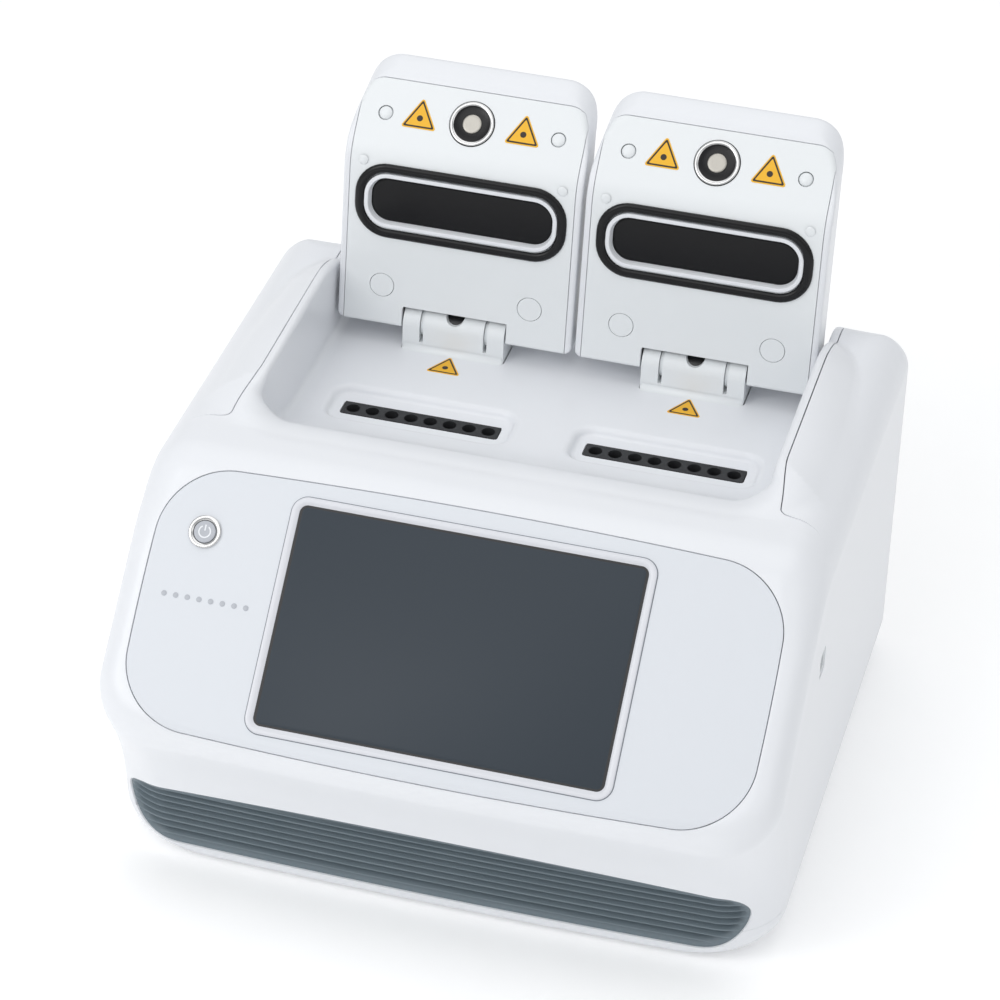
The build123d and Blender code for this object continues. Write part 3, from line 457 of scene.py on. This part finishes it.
CERAMIC = surface("ceramic_white", (0.8, 0.8, 0.76), (0.85, 0.84, 0.8), 0.7)


def dress(node, material):
    """Give a CAD node that stays in view its finish."""
    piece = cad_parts[node]
    piece.data.materials.clear()
    piece.data.materials.append(material)


def finish_piece(piece, material, body, nodes=()):
    """Dress a new piece, tie it to its body and say which CAD nodes it stands for."""
    piece.data.materials.append(material)
    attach(piece, body)
    if nodes:
        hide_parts(*nodes)


for lane_name in LANES:
    for stem, material in {
        "fan_frame": BLACK, "fan_rotor": BLACK, "sample_block": SLATE, "peltier_modules": CERAMIC,
        "heat_sink": SINK, "hinge_saddle": DECK, "hinge_pin": STEEL, "hinge_damper": BLACK,
    }.items():
        dress(f"{stem}_{lane_name}", material)
for node, material in {
    "lcd_module": SHEET, "power_button_nut": STEEL, "data_port": DECK, "control_board": BOARD,
    "power_supply": SHEET, "mains_inlet": BLACK, "fuse_drawer": BLACK, "mains_switch_frame": BLACK,
    "mains_switch_rocker": BLACK, "rear_panel": SHEET, "panel_screws": STEEL, "feet": FEET,
    "block_seals": BLACK, "strike_plates": STEEL,
}.items():
    dress(node, material)


# ---- housing pieces ------------------------------------------------------------------------
BUTTON_AT = (-114.4, 84.3)
BUTTON_RADIUS = 7.2
VENT_X, VENT_HALF = -2.0, 139.5
VENT_LOW_Z, VENT_END_Z, VENT_CROWN_Z = 8.0, 42.5, 46.5


def panel_uv(y, z):
    """Distance up the slope of the control panel from its foot."""
    return (y - PANEL_ORIGIN[1]) * cos(TILT) + (z - PANEL_ORIGIN[2]) * sin(TILT)


def panel_trim(x, y, z):
    """Negative over the control panel's own opening."""
    v = panel_uv(y, z) - PANEL_MIDDLE
    swell_x = PANEL_SWELL[0] * (v / 59) ** 2
    swell_v = PANEL_SWELL[1] * (x / 136) ** 2
    outline = round_rectangle(np.abs(x) + swell_x, np.abs(v) + swell_v, *PANEL_SIZE, PANEL_CORNER)
    return np.maximum(outline, np.abs(slope_field(y, z)) - 6)


def button_trim(x, y, z):
    """Negative over the power button."""
    reach = np.hypot(x - BUTTON_AT[0], panel_uv(y, z) - BUTTON_AT[1])
    return np.maximum(reach - BUTTON_RADIUS + 0.6, np.abs(slope_field(y, z)) - 6)


def vent_crown(x):
    """Height of the air intake's arched top edge."""
    return VENT_CROWN_Z - (VENT_CROWN_Z - VENT_END_Z) * (x / 121.0) ** 2


def vent_trim(x, y, z):
    """Negative over the air intake."""
    ends = np.abs(x - VENT_X) - VENT_HALF
    outline = fillet_and(fillet_and(ends, VENT_LOW_Z - z, 24.0), z - vent_crown(x), 12.0)
    return np.maximum(outline, y + 85)


def rear_trim(x, y, z):
    """Negative over the rear panel."""
    return np.maximum(round_rectangle(x, z - REAR_PANEL_Z, *REAR_PANEL_SIZE, 3.0), 120 - y)


def port_trim(x, y, z):
    """Negative over the data port in the right side."""
    return np.maximum(round_rectangle(y - PORT_Y, z - PORT_Z, *PORT_SIZE, 1.2), 130 - x)


def block_trim(x, y, z):
    """Negative over the sample blocks."""
    cut = 1e3
    for lane in LANES.values():
        cut = np.minimum(cut, round_rectangle(x - lane, y - BLOCK_Y, *BLOCK_SIZE, 1.2))
    return np.maximum(cut, z - POCKET_Z - 1)


def saddle_trim(x, y, z):
    """Negative over the hinge saddles."""
    cut = 1e3
    for lane in LANES.values():
        cut = np.minimum(cut, round_rectangle(x - lane, y - SADDLE_Y, *SADDLE_SIZE, 0.6))
    return np.maximum(cut, np.abs(z - FLOOR_Z) - 4)


def seam_gap(x, y, z):
    """The shoulder seam fades out where it sweeps round the hood; the parting line is tight."""
    on_seam = (np.abs(seam_trim(x, y, z)) < 0.4) & (z > PARTING_Z + 3)
    seam = 0.16 - 0.16 * ease(np.abs(x), 122, 142)
    on_parting = np.abs(z - PARTING_Z) < 0.3
    return np.where(on_seam, seam, np.where(on_parting, 0.02, 0.14))


def make_housing():
    """Shell of the housing, cut into its mouldings along its seams and round its openings."""
    step = 1.7
    trims = {
        "parting": lambda x, y, z: z - PARTING_Z + 0 * x,
        "panel": panel_trim, "vent": vent_trim, "rear": rear_trim, "port": port_trim,
        "block": block_trim, "saddle": saddle_trim, "seam": seam_trim, "button": button_trim,
    }
    low = (-HALF_WIDTH, NOSE_Y, BASE_Z)
    net = Net(housing, low, (HALF_WIDTH, REAR_Y, SHOULDER_Z), step, trims)
    side = net.side
    solid = side["panel"] & side["vent"] & side["rear"]
    solid = solid & side["port"] & side["block"] & side["saddle"]
    upper = solid & side["parting"]
    pieces = {
        "hood_and_deck": (upper & ~side["seam"], ["upper_housing", "deck_liner"]),
        "shoulders": (upper & side["seam"], ["upper_housing"]),
        "base_tray": (solid & ~side["parting"], ["lower_housing"]),
    }
    for name, (keep, nodes) in pieces.items():
        finish_piece(net.piece(name, keep, gap=seam_gap), WHITE, "housing", nodes)
    fascia = net.piece("fascia", ~side["panel"] & side["button"], gap=0.12)
    finish_piece(fascia, PANEL, "housing", ["control_panel"])


make_housing()


# ---- rings, plates and labels --------------------------------------------------------------
def round_outline(width, height, corner, per_corner=10):
    """Points round a rounded rectangle, anticlockwise from its right side."""
    points = []
    for turn, (sx, sy) in enumerate(((1, 1), (-1, 1), (-1, -1), (1, -1))):
        centre_x, centre_y = sx * (width / 2 - corner), sy * (height / 2 - corner)
        for step in range(per_corner + 1):
            angle = (turn + step / per_corner) * pi / 2
            points.append((centre_x + corner * cos(angle), centre_y + corner * sin(angle)))
    return np.array(points)


def ring(name, size, corner, profile, place, closed=False, filled=False):
    """Moulding that follows a rounded rectangle. profile lists (inset, height) from outside in.
    closed joins the last profile point to the first, filled caps the last with a flat face."""
    width, height = size
    rows = []
    for inset, level in profile:
        flat = round_outline(width - 2 * inset, height - 2 * inset, max(corner - inset, 0.05))
        rows.append(place(flat[:, 0], flat[:, 1], np.full(len(flat), float(level))))
    count = len(rows[0])
    faces = []
    pairs = [(k, k + 1) for k in range(len(rows) - 1)]
    if closed:
        pairs.append((len(rows) - 1, 0))
    for low, high in pairs:
        for k in range(count):
            after = (k + 1) % count
            here, there = low * count, high * count
            faces.append((here + k, here + after, there + after, there + k))
    if filled:
        faces.append([(len(rows) - 1) * count + k for k in range(count)])
    piece = mesh_piece(name, np.concatenate(rows), faces)
    return sharpen(piece, 38)


def disc(name, radius, profile, place, filled=True):
    """Round moulding, capped unless it is said to be open."""
    return ring(name, (2 * radius, 2 * radius), radius, profile, place, filled=filled)


def sharpen(piece, angle):
    """Smooth shading that keeps edges over an angle crisp."""
    limit = radians(angle)
    mesh = piece.data
    work = bmesh.new()
    work.from_mesh(mesh)
    bmesh.ops.remove_doubles(work, verts=work.verts, dist=1e-6)
    bmesh.ops.recalc_face_normals(work, faces=work.faces)
    for edge in work.edges:
        edge.smooth = len(edge.link_faces) == 2 and edge.calc_face_angle(0) < limit
    work.to_mesh(mesh)
    work.free()
    return piece


def arc(centre, radius, start, end, count):
    """(inset, height) points along an arc, angles in degrees from the inset axis."""
    angles = np.radians(np.linspace(start, end, count))
    return [(centre[0] + radius[0] * cos(a), centre[1] + radius[1] * sin(a)) for a in angles]


def turn_open(vectors):
    """Turn directions of a closed lid to those of an open one."""
    y, z = vectors[:, 1], vectors[:, 2]
    turned_y = y * cos(OPEN_ANGLE) - z * sin(OPEN_ANGLE)
    turned_z = y * sin(OPEN_ANGLE) + z * cos(OPEN_ANGLE)
    return np.stack([vectors[:, 0], turned_y, turned_z], 1)


def swing(points, lane):
    """Move points of a closed lid at x = 0 to the open lid of a lane."""
    hinge = np.array([0.0, HINGE_Y, HINGE_Z])
    return turn_open(points - hinge) + hinge + (lane, 0, 0)


def on_panel(u0, v0):
    """Placement on the sloping control panel, about a point of it; heights stand proud of it."""
    def place(u, v, h):
        v = v + v0
        y = PANEL_ORIGIN[1] + v * cos(TILT) - h * sin(TILT)
        z = PANEL_ORIGIN[2] + v * sin(TILT) + h * cos(TILT)
        return np.stack([u + u0, y, z], 1)
    return place


def on_lid_flat(lane, x0, y0):
    """Placement on the flat inner face of an open lid; v runs towards the lid's front."""
    def place(u, v, h):
        return swing(np.stack([u + x0, y0 - v, LID_FACE_Z - h], 1), lane)
    return place


def on_lid_slope(lane, x0, v0):
    """Placement on the sloping inner face of an open lid; v runs towards the lid's front."""
    def place(u, v, h):
        v = v + v0
        y = LID_BEND_Y - v * cos(LID_SLOPE) - h * sin(LID_SLOPE)
        z = LID_FACE_Z + v * sin(LID_SLOPE) - h * cos(LID_SLOPE)
        return swing(np.stack([u + x0, y, z], 1), lane)
    return place


def on_deck(lane, y0, level):
    """Placement flat on the deck."""
    def place(u, v, h):
        return np.stack([u + lane, v + y0, h + level], 1)
    return place


def triangle_outline(side, corner, per_corner=5):
    """Points round a triangle with rounded corners, apex along +v."""
    reach = side / np.sqrt(3) - 2 * corner
    points = []
    for middle in (90, 210, 330):
        centre = (reach * cos(radians(middle)), reach * sin(radians(middle)))
        for step in range(per_corner + 1):
            angle = radians(middle - 60 + 120 * step / per_corner)
            points.append((centre[0] + corner * cos(angle), centre[1] + corner * sin(angle)))
    return np.array(points)


def flat_shape(outline, level, place):
    """Put a flat outline in its place at one height."""
    return place(outline[:, 0], outline[:, 1], np.full(len(outline), float(level)))


FILM_LEVEL, INK_LEVEL = 0.16, 0.2
INK_MARGIN, INK_WIDTH = 1.8, 2.6
DOT_SHARE = 0.085


def label(name, side, place, body, nodes):
    """Plain caution triangle: yellow film, dark line inside its edge and a small round mark."""
    film = triangle_outline(side, 0.9)
    count = len(film)
    band = [(k, (k + 1) % count, count + (k + 1) % count, count + k) for k in range(count)]
    rows = [flat_shape(film, FILM_LEVEL, place), flat_shape(film * 1.01, 0.0, place)]
    sheet = mesh_piece(name, np.concatenate(rows), [list(range(count)), *band])
    finish_piece(sharpen(sheet, 30), YELLOW, body, nodes)

    outer = triangle_outline(side - INK_MARGIN, 0.55)
    inner = triangle_outline(side - INK_MARGIN - INK_WIDTH, 0.3)
    angles = np.linspace(0, 2 * pi, 20, endpoint=False)
    dot = side * DOT_SHARE * np.stack([np.cos(angles), np.sin(angles)], 1)
    rows = [flat_shape(shape, INK_LEVEL, place) for shape in (outer, inner, dot)]
    faces = [*band, [2 * count + k for k in range(len(angles))]]
    ink = mesh_piece(name + "_ink", np.concatenate(rows), faces)
    finish_piece(ink, INK, body)


# ---- control panel -------------------------------------------------------------------------
SCREEN_FRAME = (158.8, 102.6)
SCREEN_WINDOW = (151.9, 96.3)
SCREEN_COVER = (149.4, 93.8)


def make_screen():
    """Silver frame, the shadow joint round it, a painted shadow band round the glass, and the glass."""
    place = on_panel(0.0, PANEL_MIDDLE)
    profile = [(0, -1.5), (0, 0.35), *arc((0.5, 0.4), (0.5, 0.5), 180, 90, 4)]
    profile += [(1.6, 0.95), (3.0, 0.55), (3.45, 0.2), (3.55, -0.8)]
    bezel = ring("screen_frame", SCREEN_FRAME, 7.0, profile, place)
    finish_piece(bezel, SILVER, "housing", ["screen_bezel"])
    around = (SCREEN_FRAME[0] + 0.8, SCREEN_FRAME[1] + 0.8)
    joint = ring("screen_joint", around, 7.4, [(0, 0.02), (0.9, 0.06)], place)
    finish_piece(joint, JOINT, "housing")
    # Black band inside the window: a painted shadow line round the glass.
    edge = ring("screen_shadow_band", SCREEN_WINDOW, 3.4, [(0, 0.12), (1.3, 0.12)], place)
    finish_piece(edge, BLACK, "housing")
    cover = [(0, 0.0), (0, 0.1), (0.15, 0.2)]
    glass = ring("screen_cover", SCREEN_COVER, 2.2, cover, place, filled=True)
    finish_piece(glass, GLASS, "housing", ["screen_glass"])


BUTTON_CAP_RADIUS = 4.85
MARK_RADII = (2.2, 2.85)
MARK_GAP = radians(32)
MARK_LEVEL = 0.86
MARK_POINTS = 25


def make_power_button():
    """Bright ring, grey cap and the open circle and bar of a power mark."""
    place = on_panel(*BUTTON_AT)
    profile = [(0, -0.6), (0, 0.5), *arc((0.6, 0.55), (0.6, 0.6), 180, 90, 4)]
    profile += [(1.5, 1.1), (2.1, 0.6), (2.2, -0.6)]
    body = disc("button_ring", BUTTON_RADIUS, profile, place, filled=False)
    finish_piece(body, CHROME, "housing", ["power_button_body"])
    cap_profile = [(0, -0.6), (0, 0.45), *arc((0.5, 0.45), (0.5, 0.45), 180, 90, 4)]
    cap_profile += [(2.6, 0.8), (4.6, 0.72)]
    cap = disc("button_cap", BUTTON_CAP_RADIUS, cap_profile, place)
    finish_piece(cap, CAP, "power_cap", ["power_button_cap"])

    count = MARK_POINTS
    angles = np.linspace(pi / 2 + MARK_GAP, 5 * pi / 2 - MARK_GAP, count)
    circle = np.stack([np.cos(angles), np.sin(angles)], 1)
    bar = np.array([(-0.32, 0.4), (0.32, 0.4), (0.32, 3.0), (-0.32, 3.0)])
    shapes = [MARK_RADII[0] * circle, MARK_RADII[1] * circle, bar]
    rows = [flat_shape(shape, MARK_LEVEL, place) for shape in shapes]
    faces = [(k, k + 1, count + k + 1, count + k) for k in range(count - 1)]
    faces.append([2 * count + k for k in range(4)])
    mark = mesh_piece("button_mark", np.concatenate(rows), faces)
    finish_piece(mark, MARK, "power_cap")


DOT_COUNT, DOT_PITCH = 8, 5.2
DOT_START = (-126.0, 55.5)


def make_panel_dots():
    """Row of eight small raised dots, one for each well of a strip."""
    profile = [(0, -0.1), (0, 0.12), (0.3, 0.22)]
    for index in range(DOT_COUNT):
        place = on_panel(DOT_START[0] + index * DOT_PITCH, DOT_START[1])
        finish_piece(disc(f"panel_dot_{index + 1}", 1.2, profile, place), CAP, "housing")


# ---- air intake ----------------------------------------------------------------------------
RIBS = 9.5
SCREEN_DEPTH, RIB_DEPTH = 0.9, 3.2


def make_grille():
    """Corrugated intake screen, its ribs dying away near its edge."""
    columns, rows = ((240, 180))
    xs = np.linspace(VENT_X - VENT_HALF - 1, VENT_X + VENT_HALF + 1, columns)
    zs = np.linspace(VENT_LOW_Z - 1.2, VENT_CROWN_Z + 1.2, rows)
    x, z = np.meshgrid(xs, zs)
    inside = -vent_trim(x, np.full_like(x, -110.0), z)
    ribs = 0.5 - 0.5 * np.cos(2 * pi * RIBS * (z - VENT_LOW_Z) / (VENT_CROWN_Z - VENT_LOW_Z))
    depth = SCREEN_DEPTH + RIB_DEPTH * ribs**0.55 * ease(inside, 0.5, 6)
    # halving finds, at each point, how far back the body is that deep
    near, far = np.full_like(x, -175.0), np.full_like(x, -60.0)
    for _ in range(26):
        middle = (near + far) / 2
        outside = main_body(x, middle, z) > -depth
        near, far = np.where(outside, middle, near), np.where(outside, far, middle)
    points = np.stack([x, near, z], 2).reshape(-1, 3)
    keep = (inside > -1.4).ravel()
    index = np.arange(columns * rows).reshape(rows, columns)
    corners = [index[:-1, :-1], index[:-1, 1:], index[1:, 1:], index[1:, :-1]]
    quads = np.stack(corners, 2).reshape(-1, 4)
    quads = quads[keep[quads].all(1)]
    used = np.unique(quads)
    number = np.full(len(points), -1)
    number[used] = np.arange(len(used))
    screen = mesh_piece("intake_screen", points[used], number[quads])
    finish_piece(screen, GRILLE, "housing", ["front_grille"])


# ---- lids ----------------------------------------------------------------------------------
HEATER_Y = 42.6
MAGNET_V = 20.5
PIN_X, PIN_V = 40.1, 19.6
PAD_X, PAD_Y = 46.2, 24.6
SCREW_X, SCREW_Y = 34.8, 84.3
LABEL_X, LABEL_V = 24.0, 19.3
LID_LABEL, DECK_LABEL = 16.6, 16.2
DECK_LABEL_Y = 82.0
NOTCH_HALF, NOTCH_Y, NOTCH_Z = 24.6, 93.6, 164.4
ARM_X, KNUCKLE_RADIUS = 15.1, 6.7


def lid_face(y, z):
    """Negative above a closed lid's bent inner face."""
    flat = LID_FACE_Z - z
    slope = (LID_BEND_Y - y) * sin(LID_SLOPE) - (z - LID_FACE_Z) * cos(LID_SLOPE)
    return bend_and(flat, slope, 5.0)


def lid(x, y, z):
    """Closed lid about x = 0."""
    half = LID_HALF - LID_DRAFT * np.maximum(z - LID_FACE_Z - 4, 0)
    side = np.abs(x) - half
    nose = -line_field(y, z, (LID_NOSE_Y, 170.1), (-15.9, 179.0))
    front = bend_and(nose, -15.9 - y, 2.5)
    plan = fillet_and(side, front, 15.0)
    plan = fillet_and(plan, y - LID_REAR_Y, 4.0)
    section = fillet_and(z - LID_TOP_Z, y - LID_REAR_Y, 14.0)
    crown = 5.0 + 6.5 * ease(y, -12, 8) - 7.0 * ease(y, 86, 100)
    body = fillet_and(plan, section, crown)
    return fillet_and(body, lid_face(y, z), 1.1)


def lid_seam_trim(x, y, z):
    """Negative over the inner panel."""
    side = np.abs(x) - (LID_HALF - LID_RIM)
    outline = fillet_and(side, LID_NOSE_Y + 2.9 - y, 9.5)
    return np.maximum(outline, -lid_face(y, z) - 2)


def lid_hole_trim(x, y, z):
    """Negative over the openings in the inner panel."""
    v = (LID_BEND_Y - y) / cos(LID_SLOPE)
    cut = round_rectangle(x, y - HEATER_Y, 90.4, 26.8, 11.4)
    cut = np.minimum(cut, np.hypot(x, v - MAGNET_V) - 10.4)
    cut = np.minimum(cut, np.hypot(np.abs(x) - PIN_X, v - PIN_V) - 3.35)
    cut = np.minimum(cut, np.hypot(np.abs(x) - SCREW_X, y - SCREW_Y) - 5.68)
    return np.maximum(cut, -lid_face(y, z) - 2)


def lid_notch_trim(x, y, z):
    """Negative in the space kept for the hinge saddle."""
    return np.maximum(np.maximum(np.abs(x) - NOTCH_HALF, NOTCH_Y - y), z - NOTCH_Z)


def make_lids():
    """Both lids, cut from one closed shape and swung open."""
    step = 1.25
    trims = {"seam": lid_seam_trim, "hole": lid_hole_trim, "notch": lid_notch_trim}
    net = Net(lid, (-LID_HALF, -16.5, LID_FACE_Z), (LID_HALF, LID_REAR_Y, LID_TOP_Z), step, trims)
    side = net.side
    for name, lane in LANES.items():
        keep = side["seam"] & side["notch"]
        cover = net.piece(f"cover_{name}", keep, gap=0.1, curl=0.25, depth=2.6, lane=lane)
        finish_piece(cover, WHITE, f"lid_{name}", [f"lid_cover_{name}"])
        keep = ~side["seam"] & side["notch"] & side["hole"]
        panel = net.piece(f"face_{name}", keep, gap=0.08, curl=0.2, depth=2.2, lane=lane)
        finish_piece(panel, DECK, f"lid_{name}", [f"lid_inner_panel_{name}"])
        make_lid_fittings(name, lane)
        make_hinge_details(name, lane)


def make_lid_fittings(name, lane):
    """What the inner face of a lid carries: seal, heated plate, magnet, bumpers, caps and labels."""
    body = f"lid_{name}"
    place = on_lid_flat(lane, 0.0, HEATER_Y)
    seal = [(0.4, -1.5), (0.1, 0.0), *arc((2.1, 0.1), (2.1, 1.4), 180, 0, 11), (4.1, -1.5)]
    gasket = ring(f"seal_{name}", (98.6, 35.8), 15.4, seal, place, closed=True)
    finish_piece(gasket, RUBBER, body, [f"lid_gasket_{name}"])
    wall = [(0, -2.0), (0, 0.5), *arc((0.5, 0.45), (0.5, 0.4), 180, 90, 4), (1.5, 0.85)]
    wall += [*arc((1.5, 0.45), (0.5, 0.4), 90, 10, 4), (2.5, -2.4), (3.0, -2.4)]
    collar = ring(f"collar_{name}", (89.9, 26.3), 11.15, wall, place)
    finish_piece(collar, WHITE, body, [f"lid_collar_{name}"])
    dish = [(0, -2.6), (0, -2.2), (0.5, -1.95), (1.5, -1.9)]
    plate = ring(f"heated_plate_{name}", (84.4, 21.0), 8.6, dish, place, filled=True)
    finish_piece(plate, PLATE, body, [f"heater_plate_{name}"])

    at_magnet = on_lid_slope(lane, 0.0, MAGNET_V)
    cup_wall = [(0, -1.5), (0, 0.3), *arc((0.5, 0.3), (0.5, 0.4), 180, 90, 4)]
    cup_wall += [(1.2, 0.7), (1.7, 0.4), (1.75, -1)]
    cup = disc(f"magnet_ring_{name}", 10.1, cup_wall, at_magnet, filled=False)
    finish_piece(cup, CHROME, body, [f"magnet_cup_{name}"])
    floor = [(0, -0.2), (0.6, -0.5), (4.2, -0.5)]
    finish_piece(disc(f"magnet_insert_{name}", 8.4, floor, at_magnet, filled=False), RUBBER, body)
    head = [(0, -0.6), (0, 0.0), (0.2, 0.2), (0.6, 0.25), (1.5, 0.25), (3.2, 0.22)]
    pole = disc(f"magnet_pole_{name}", 4.3, head, at_magnet)
    finish_piece(pole, WARM, body, [f"magnet_core_{name}"])

    dome = [(0.05, -0.8), *arc((3.0, -0.8), (2.9, 1.5), 180, 100, 7)]
    pad = [(0, -0.2), *arc((2.3, -0.1), (2.3, 0.55), 180, 100, 6)]
    cap = [(0, -0.8), (0, -0.12), (0.12, 0.0), (2.5, 0.0)]
    nodes = [f"lid_bumpers_{name}"]
    for x, side_name in ((-1, "a"), (1, "b")):
        end = f"{name}_{side_name}"
        pin = disc(f"bumper_{end}", 3.2, dome, on_lid_slope(lane, x * PIN_X, PIN_V))
        finish_piece(pin, DECK, body, nodes)
        rest = disc(f"rest_pad_{end}", 2.3, pad, on_lid_flat(lane, x * PAD_X, PAD_Y))
        finish_piece(rest, DECK, body, nodes)
        cover = disc(f"screw_cover_{end}", 5.55, cap, on_lid_flat(lane, x * SCREW_X, SCREW_Y))
        finish_piece(cover, DECK, body, nodes)
        label(f"lid_label_{end}", LID_LABEL, on_lid_slope(lane, x * LABEL_X, LABEL_V), body,
              [f"lid_labels_{name}"])


def make_hinge_details(name, lane):
    """Round knuckles of the lid's arms in the saddle's slots, and the saddle's soft foot."""
    for x, side_name in ((-1, "a"), (1, "b")):
        def place(u, v, h, x=x):
            return np.stack([h + lane + x * ARM_X, HINGE_Y + u, HINGE_Z + v], 1)
        profile = [(1.0, -0.75), (0, -0.65), (0, 0.65), (1.0, 0.75)]
        knuckle = disc(f"knuckle_{name}_{side_name}", KNUCKLE_RADIUS, profile, place, filled=False)
        finish_piece(knuckle, DECK, f"lid_{name}", [f"hinge_arms_{name}"])
    count = 7
    angles = np.linspace(0, pi / 2, count)
    sections = []
    for x, radius in ((-23.9, 0.3), (-23.0, 2.6), (23.0, 2.6), (23.9, 0.3)):
        y = 93.55 - radius * (1 - np.sin(angles))
        z = FLOOR_Z + 0.03 + radius * (1 - np.cos(angles))
        sections.append(np.stack([np.full(count, lane + x), y, z], 1))
    faces = []
    for start in range(0, 3 * count, count):
        for k in range(start, start + count - 1):
            faces.append((k, k + 1, k + count + 1, k + count))
    foot = mesh_piece(f"saddle_foot_{name}", np.concatenate(sections), faces)
    finish_piece(foot, DECK, "housing")


make_screen()
make_power_button()
make_panel_dots()
make_grille()
make_lids()
for lane_name, lane_x in LANES.items():
    at_label = on_deck(lane_x, DECK_LABEL_Y, FLOOR_Z)
    label(f"deck_label_{lane_name}", DECK_LABEL, at_label, "housing", ["deck_labels"])


# ---- camera, light and floor ---------------------------------------------------------------
CAMERA_AT = (342.40, -1331.86, 1099.19)
CAMERA_AZIMUTH, CAMERA_ELEVATION, CAMERA_ROLL = radians(14.702), radians(34.963), radians(1.65)
CAMERA_LENS = 138.57
FLOOR_REACH = 4.0
FLOOR_GLOW = 0.17


def make_camera():
    """Viewpoint above the front and a little to the right, through a long lens."""
    camera = bpy.data.cameras.new("camera")
    camera.sensor_width = 36.0
    camera.lens = CAMERA_LENS
    camera.clip_end = 50
    view = bpy.data.objects.new("camera", camera)
    bpy.context.scene.collection.objects.link(view)
    level = cos(CAMERA_ELEVATION)
    back = Vector((sin(CAMERA_AZIMUTH) * level, -cos(CAMERA_AZIMUTH) * level, sin(CAMERA_ELEVATION)))
    turn = back.to_track_quat("Z", "Y").to_matrix() @ Matrix.Rotation(CAMERA_ROLL, 3, "Z")
    view.matrix_world = Matrix.Translation(Vector(CAMERA_AT) * MM) @ turn.to_4x4()
    bpy.context.scene.camera = view


def soft_light(name, place, size, power):
    """Rectangular lamp turned towards the middle of the object."""
    lamp = bpy.data.lights.new(name, "AREA")
    lamp.shape = "RECTANGLE"
    lamp.size, lamp.size_y = size
    lamp.energy = power
    light = bpy.data.objects.new(name, lamp)
    light.location = place
    aim = Vector((0, 0, 0.1)) - Vector(place)
    light.rotation_euler = aim.to_track_quat("-Z", "Y").to_euler()
    bpy.context.scene.collection.objects.link(light)


def make_floor():
    """Plain pale floor with a faint glow, so that it reads as a seamless backdrop."""
    corners = [(x * FLOOR_REACH, y * FLOOR_REACH, 0) for x, y in ((-1, -1), (1, -1), (1, 1), (-1, 1))]
    mesh = bpy.data.meshes.new("floor")
    mesh.from_pydata(corners, [], [(0, 1, 2, 3)])
    floor = bpy.data.objects.new("floor", mesh)
    table = surface("floor_white", (0.93, 0.93, 0.93), (0.95, 0.95, 0.95), 0.9, bump=0.0)
    shader = table.node_tree.nodes["Principled BSDF"]
    shader.inputs["Emission Color"].default_value = (1, 1, 1, 1)
    shader.inputs["Emission Strength"].default_value = FLOOR_GLOW
    mesh.materials.append(table)
    bpy.context.scene.collection.objects.link(floor)


make_camera()
make_floor()
world = bpy.data.worlds.new("studio")
world.use_nodes = True
world.node_tree.nodes["Background"].inputs["Color"].default_value = (0.97, 0.985, 1.0, 1)
world.node_tree.nodes["Background"].inputs["Strength"].default_value = 0.62
bpy.context.scene.world = world
soft_light("near", (-0.75, -0.75, 0.75), (0.5, 0.5), 2.1)
soft_light("high", (-0.6, -1.3, 1.7), (1.6, 1.2), 8.2)
soft_light("top", (0.0, 0.2, 2.0), (1.8, 1.4), 7.0)
soft_light("back", (0.0, 1.3, 1.8), (1.6, 1.0), 3.4)
soft_light("right", (1.3, -1.0, 1.4), (1.0, 1.0), 2.3)
bpy.context.scene.view_settings.view_transform = "Standard"
bpy.context.scene.view_settings.look = "None"
